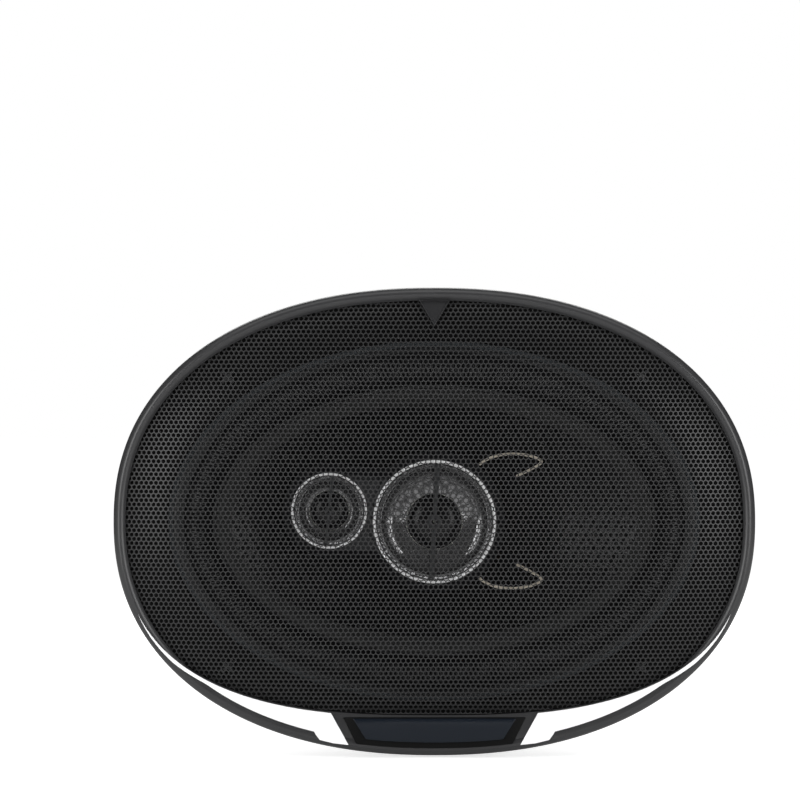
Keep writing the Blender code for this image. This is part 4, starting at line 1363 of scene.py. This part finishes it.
for k in range(1, 5):
    node = f"grille_post_{k}"
    x, z = centre_of(node)
    low, high = heights(node)
    place = (x, (low + high) / 2, z)
    post = box_piece(f"ribbed_post_{k}", (RIB_SPAN, high - low, RIB_WIDTH), place, 45.0)
    rib = box_piece("rib", (RIB_WIDTH, high - low - 0.2, RIB_SPAN), place, 45.0)
    cut_away(post, rib, "UNION")
    round_edges(post, 0.2, 2, 40.0)
    finish(post, lit_satin_plastic, "grille", [node])
for word, side in (("left", -1), ("right", 1)):
    arm = box_piece(f"spring_arm_{word}", (11.4, 1.0, 6.0), (side * ARM_AT[0], ARM_AT[1], 0.0))
    leg = box_piece("leg", (1.6, 3.4, 5.8), (side * LEG_AT[0], LEG_AT[1], 0.0))
    cut_away(arm, leg, "UNION")
    round_edges(arm, 0.25, 2, 40.0)
    # the arms wear the darker copy of the grille plastic: painted shade
    finish(arm, grille_plastic, "grille", [f"grille_arm_{word}"])

# %% [markdown]
# ## The motor and the back
#
# The back of a speaker is plain engineering: two plated steel plates with a ferrite ring
# between them, glued and riveted to the basket. Turned profiles with softened edges do it.

# %% Plates, magnet and bolt
def with_rounded_ends(outer, inner, low, high, softness, steps=4):
    """A ring's profile whose outer edges are quarter circles."""
    flat = outer - softness
    quarter = [math.radians(90 * k / steps) for k in range(steps + 1)]
    profile = []
    for t in quarter:
        profile.append((flat + softness * math.sin(t), high - softness + softness * math.cos(t)))
    for t in quarter:
        profile.append((flat + softness * math.cos(t), low + softness - softness * math.sin(t)))
    return profile + [(inner, low), (inner, high)]


def motor_disc(name, node, inner, softness, material):
    profile = with_rounded_ends(half_size(node)[0], inner, *heights(node), softness)
    finish(turned(name, profile, count=160), material, "speaker", [node], 40.0)


motor_disc("front_plate_disc", "front_plate", 17.6, 0.5, plated_steel)
motor_disc("magnet_ring", "ferrite_magnet", 24.0, 1.1, ferrite_grey)

low, high = heights("back_plate_and_pole")
plate_radius = half_size("back_plate_and_pole")[0]
plate_front = heights("ferrite_magnet")[0] - 0.3
yoke = turned(
    "back_plate_yoke",
    [
        (2.7, high), (14.9, high), (15.5, high - 0.6), (15.5, plate_front),
        (plate_radius - 0.8, plate_front), (plate_radius - 0.2, plate_front - 0.25),
        (plate_radius, plate_front - 0.8), (plate_radius, low + 2.0),
        (plate_radius - 0.5, low + 0.9), (plate_radius - 1.8, low + 0.15),
        (plate_radius - 3.0, low), (24.0, low), (23.4, low + 0.5), (22.6, low + 0.5),
        (22.0, low), (2.7, low),
    ],
    count=160,
)
finish(yoke, plated_steel, "speaker", ["back_plate_and_pole"], 35.0)

low, high = heights("post_bolt")
bolt = turned(
    "pod_bolt",
    [
        (2.4, high), (2.4, low + 2.7), (3.9, low + 2.7), (4.2, low + 2.4), (4.2, low + 0.6),
        (3.8, low + 0.12), (3.2, low), (1.7, low), (1.6, low + 0.1), (1.6, low + 1.6),
    ],
    count=48,
    close="cap",
)
finish(bolt, plated_steel, "speaker", ["post_bolt"], 35.0)

# %% Rivets, post, coil and former
for k in range(1, 5):
    node = f"motor_rivet_{k}"
    low, high = heights(node)
    profile = [(2.8, low)] + [
        (2.8 * math.cos(t), low + (high - low) * math.sin(t)) for t in np.linspace(0.15, 1.45, 7)
    ]
    rivet = turned(f"rivet_head_{k}", profile, centre_of(node), 32, "cap")
    finish(rivet, plated_steel, "speaker", [node])

low, high = heights("pod_post")
post = turned(
    "pod_stem",
    [(5.0, high), (5.0, low + 3.4), (5.4, low + 2.6), (6.5, low + 1.7), (6.5, low)],
    count=64,
    close="cap",
)
finish(post, plated_steel, "speaker", ["pod_post"])
low, high = heights("voice_coil_former")
FORMER_OUTER, FORMER_INNER = 16.35, 16.0
sleeve = [(FORMER_OUTER, high), (FORMER_OUTER, low), (FORMER_INNER, low), (FORMER_INNER, high)]
former = turned("coil_former", sleeve, count=120)
finish(former, amber_film, "cone_assembly", ["voice_coil_former"])


COIL_WALL = 0.55
WIRE_PITCH, WIRE_BULGE = 0.5, 0.12


def winding(node, name, body):
    """A coil of round wire turns, seen as a ribbed sleeve."""
    low, high = heights(node)
    outer = half_size(node)[0]
    inner = outer - COIL_WALL
    wires = int((high - low) / WIRE_PITCH)
    profile = [(inner, high)]
    for k in range(wires * 4 + 1):
        bulge = WIRE_BULGE * abs(math.sin(math.pi * k / 4))
        profile.append((outer - WIRE_BULGE + bulge, high - (high - low) * k / (wires * 4)))
    coil = turned(name, profile + [(inner, low)], centre_of(node), 72)
    finish(coil, copper_wire, body, [node], 60.0)


winding("voice_coil", "main_winding", "cone_assembly")
winding("mid_voice_coil", "mid_winding", "mid_diaphragm")
winding("tweeter_voice_coil", "tweeter_winding", "tweeter_diaphragm")

# %% [markdown]
# The spider is a disc of stiffened cloth, pressed into waves. It centres the coil; its points'
# shares of the cone's movement are worked out from the basket's ledge to the former.

# %% The spider
WAVES, WAVE_HEIGHT = 5, 1.25
STILL_RADIUS, MOVING_RADIUS = 45.0, 18.0


def make_spider():
    middle = sum(heights("spider")) / 2
    outer = half_size("spider")[0]
    front = []
    for k in range(61):
        part = k / 60
        size = outer + (NECK - outer) * part
        calm = min(1.0, part / 0.12, (1 - part) / 0.06)
        wave = WAVE_HEIGHT * calm * math.sin(math.tau * WAVES * part)
        front.append((size, middle + 0.3 + wave))
    back = [(size, height - 0.5) for size, height in reversed(front)]
    return turned("spider_disc", front + back, count=120)


spider = make_spider()
finish(spider, spider_cloth, None, ["spider"], 60.0)
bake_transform(spider)
place = points_of(spider)
reach = np.hypot(place[:, 0], place[:, 2])
set_shares((STILL_RADIUS - reach) / (STILL_RADIUS - MOVING_RADIUS))

# %% [markdown]
# The terminal board is a slip of brown fibre riveted to the widest spoke. It lies along the
# basket's slope, so its pieces are made flat and then turned with it.

# %% The terminal board
BOARD_TURN = 44.0
BOARD_AT = (96.9, -15.4, 0.0)


def board_piece(name, size, offset):
    """A box in the board's own tilted frame: offset is (outwards, along, z)."""
    item = box_piece(name, size, (0, 0, 0))
    shift = Matrix.Translation([v * MM for v in offset])
    turn = Matrix.Rotation(math.radians(BOARD_TURN), 4, "Z")
    place = Matrix.Translation((BOARD_AT[0] * MM, -BOARD_AT[1] * MM, BOARD_AT[2] * MM))
    item.data.transform(place @ turn @ shift)
    return item


board = board_piece("terminal_strip", (1.6, 17.0, 27.0), (0, 0, 0))
round_edges(board, 0.25, 2, 40.0)
finish(board, fibre_brown, "speaker", ["terminal_board"])
for word, side, width in (("positive", 1, 6.3), ("negative", -1, 4.8)):
    tab = board_piece(f"tab_{word}", (0.8, 12.0, width), (1.5, 0.0, side * 8.0))
    cut_away(tab, board_piece("blade", (11.0, 0.8, width - 0.2), (6.7, 5.0, side * 8.0)), "UNION")
    round_edges(tab, 0.15, 1, 40.0)
    finish(tab, tinned_brass, "speaker", [f"terminal_{word}"])

# %% The crossover capacitor
low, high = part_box("crossover_capacitor")
deselect_all()
bpy.ops.mesh.primitive_cylinder_add(
    vertices=64, radius=(high.x - low.x) / 2, depth=high.z - low.z, location=(low + high) / 2,
)
capacitor = bpy.context.object
capacitor.name = "capacitor_can"
bpy.ops.object.transform_apply(location=True, rotation=True, scale=True)
round_edges(capacitor, 0.9, 4, 40.0)
finish(capacitor, sleeve_blue, "speaker", ["crossover_capacitor"], 50.0)

# %% [markdown]
# ## Parts that stay as the CAD made them
#
# The two little magnets are closed inside the pod, so their CAD shapes are good enough. They
# only get a real material.

# %% Materials for the carried-over parts
for kind in ("mid", "tweeter"):
    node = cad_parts[f"{kind}_magnet"]
    node.data.materials.clear()
    node.data.materials.append(plated_steel)

# %% [markdown]
# ## Stage, light and camera
#
# The speaker is shown from straight ahead with a long lens, so that its ovals keep their
# true shape. It stands on plain pale paper. To the camera the paper glows a little, and more
# so far away, so that it meets the white of the room without a line. Its light on the speaker
# stays that of paper.

# %% The floor
# (metres from the middle, glow) where the haze starts and where it is full
HAZE_START, HAZE_END = (0.25, 0.62), (1.2, 1.0)
PAPER_SIZE, PAPER_GAP = 40.0, 0.0008
pale_paper = make_finish("pale_paper", (0.88, 0.88, 0.88), 0.9, 0.0, 4.0, 0.02, 0.01)
paper_nodes = pale_paper.node_tree
seen = paper_nodes.nodes.new("ShaderNodeLightPath")
paper_place = paper_nodes.nodes.new("ShaderNodeTexCoord")
distance = paper_nodes.nodes.new("ShaderNodeVectorMath")
distance.operation = "LENGTH"
paper_nodes.links.new(paper_place.outputs["Object"], distance.inputs[0])
haze = paper_nodes.nodes.new("ShaderNodeMapRange")
for end, (metres, strength) in (("Min", HAZE_START), ("Max", HAZE_END)):
    haze.inputs[f"From {end}"].default_value = metres
    haze.inputs[f"To {end}"].default_value = strength
paper_nodes.links.new(distance.outputs["Value"], haze.inputs["Value"])
glow = paper_nodes.nodes.new("ShaderNodeMath")
glow.operation = "MULTIPLY"
paper_nodes.links.new(haze.outputs["Result"], glow.inputs[1])
paper_shader = paper_nodes.nodes["Principled BSDF"]
paper_shader.inputs["Emission Color"].default_value = (1, 1, 1, 1)
paper_nodes.links.new(seen.outputs["Is Camera Ray"], glow.inputs[0])
paper_nodes.links.new(glow.outputs[0], paper_shader.inputs["Emission Strength"])
deselect_all()
bpy.ops.mesh.primitive_plane_add(size=PAPER_SIZE, location=(0, 0, cad_low.z - PAPER_GAP))
paper = bpy.context.object
paper.name = "paper_floor"
paper.data.materials.append(pale_paper)
paper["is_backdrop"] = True


# %% [markdown]
# Two tall soft boxes stand left and right, and a wide one hangs above: they give the polished
# horns their side reflections and the black parts their edges. A broad light in front lets
# the mesh and the paint show their grain; glossy surfaces don't see it, or it would draw an
# arc in each horn. A last one behind brightens the paper.

# %% Lights
def soft_box(name, place, size, power):
    """A rectangular light that points at the middle of the speaker."""
    light = bpy.data.lights.new(name, "AREA")
    light.shape = "RECTANGLE"
    light.size, light.size_y = size
    light.energy = power
    lamp = bpy.data.objects.new(name, light)
    bpy.context.scene.collection.objects.link(lamp)
    lamp.location = place
    lamp.rotation_euler = (-Vector(place)).to_track_quat("-Z", "Y").to_euler()
    lamp.visible_camera = False
    return lamp


soft_box("left_box", (-1.15, -0.85, 0.30), (0.9, 1.1), 12)
soft_box("right_box", (1.15, -0.85, 0.30), (0.9, 1.1), 12)
soft_box("top_box", (0.0, -0.15, 1.3), (1.8, 0.5), 4)
front_key = soft_box("front_key", (0.2, -2.75, 0.15), (1.2, 0.6), 48)
front_key.visible_glossy = False
soft_box("back_fill", (0.0, 1.6, 1.2), (1.6, 0.8), 14)

# %% [markdown]
# The room itself is nearly dark, so that black parts stay black. Only the camera sees it
# as white.

# %% The room
ROOM_LIGHT = 0.07
world = bpy.data.worlds.new("room")
bpy.context.scene.world = world
world.use_nodes = True
room = world.node_tree
white = room.nodes["Background"]
white.inputs["Color"].default_value = (1, 1, 1, 1)
white.inputs["Strength"].default_value = 1.0
dim = room.nodes.new("ShaderNodeBackground")
dim.inputs["Color"].default_value = (1, 1, 1, 1)
dim.inputs["Strength"].default_value = ROOM_LIGHT
ray = room.nodes.new("ShaderNodeLightPath")
choice = room.nodes.new("ShaderNodeMixShader")
room.links.new(ray.outputs["Is Camera Ray"], choice.inputs["Fac"])
room.links.new(dim.outputs["Background"], choice.inputs[1])
room.links.new(white.outputs["Background"], choice.inputs[2])
room.links.new(choice.outputs["Shader"], room.nodes["World Output"].inputs["Surface"])
bpy.context.scene.view_settings.view_transform = "Standard"

# %% Camera
DISTANCE = 2.4
VIEW_WIDTH = 0.3356
VIEW_MIDDLE = (-0.0145, 0.0512)
SENSOR = 36.0
camera_data = bpy.data.cameras.new("long_lens")
camera_data.sensor_width = SENSOR
camera_data.lens = SENSOR * DISTANCE / VIEW_WIDTH
camera = bpy.data.objects.new("long_lens", camera_data)
bpy.context.scene.collection.objects.link(camera)
camera.location = (VIEW_MIDDLE[0], cad_low.y - DISTANCE, VIEW_MIDDLE[1])
camera.rotation_euler = (math.radians(90), 0, 0)
bpy.context.scene.camera = camera

# %% Check the size and finish
low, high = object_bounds()
print("pieces made:", len(made))
for word, size in (("CAD", cad_high - cad_low), ("visual", high - low)):
    print(word, "box in mm:", [round(v / MM, 1) for v in size])
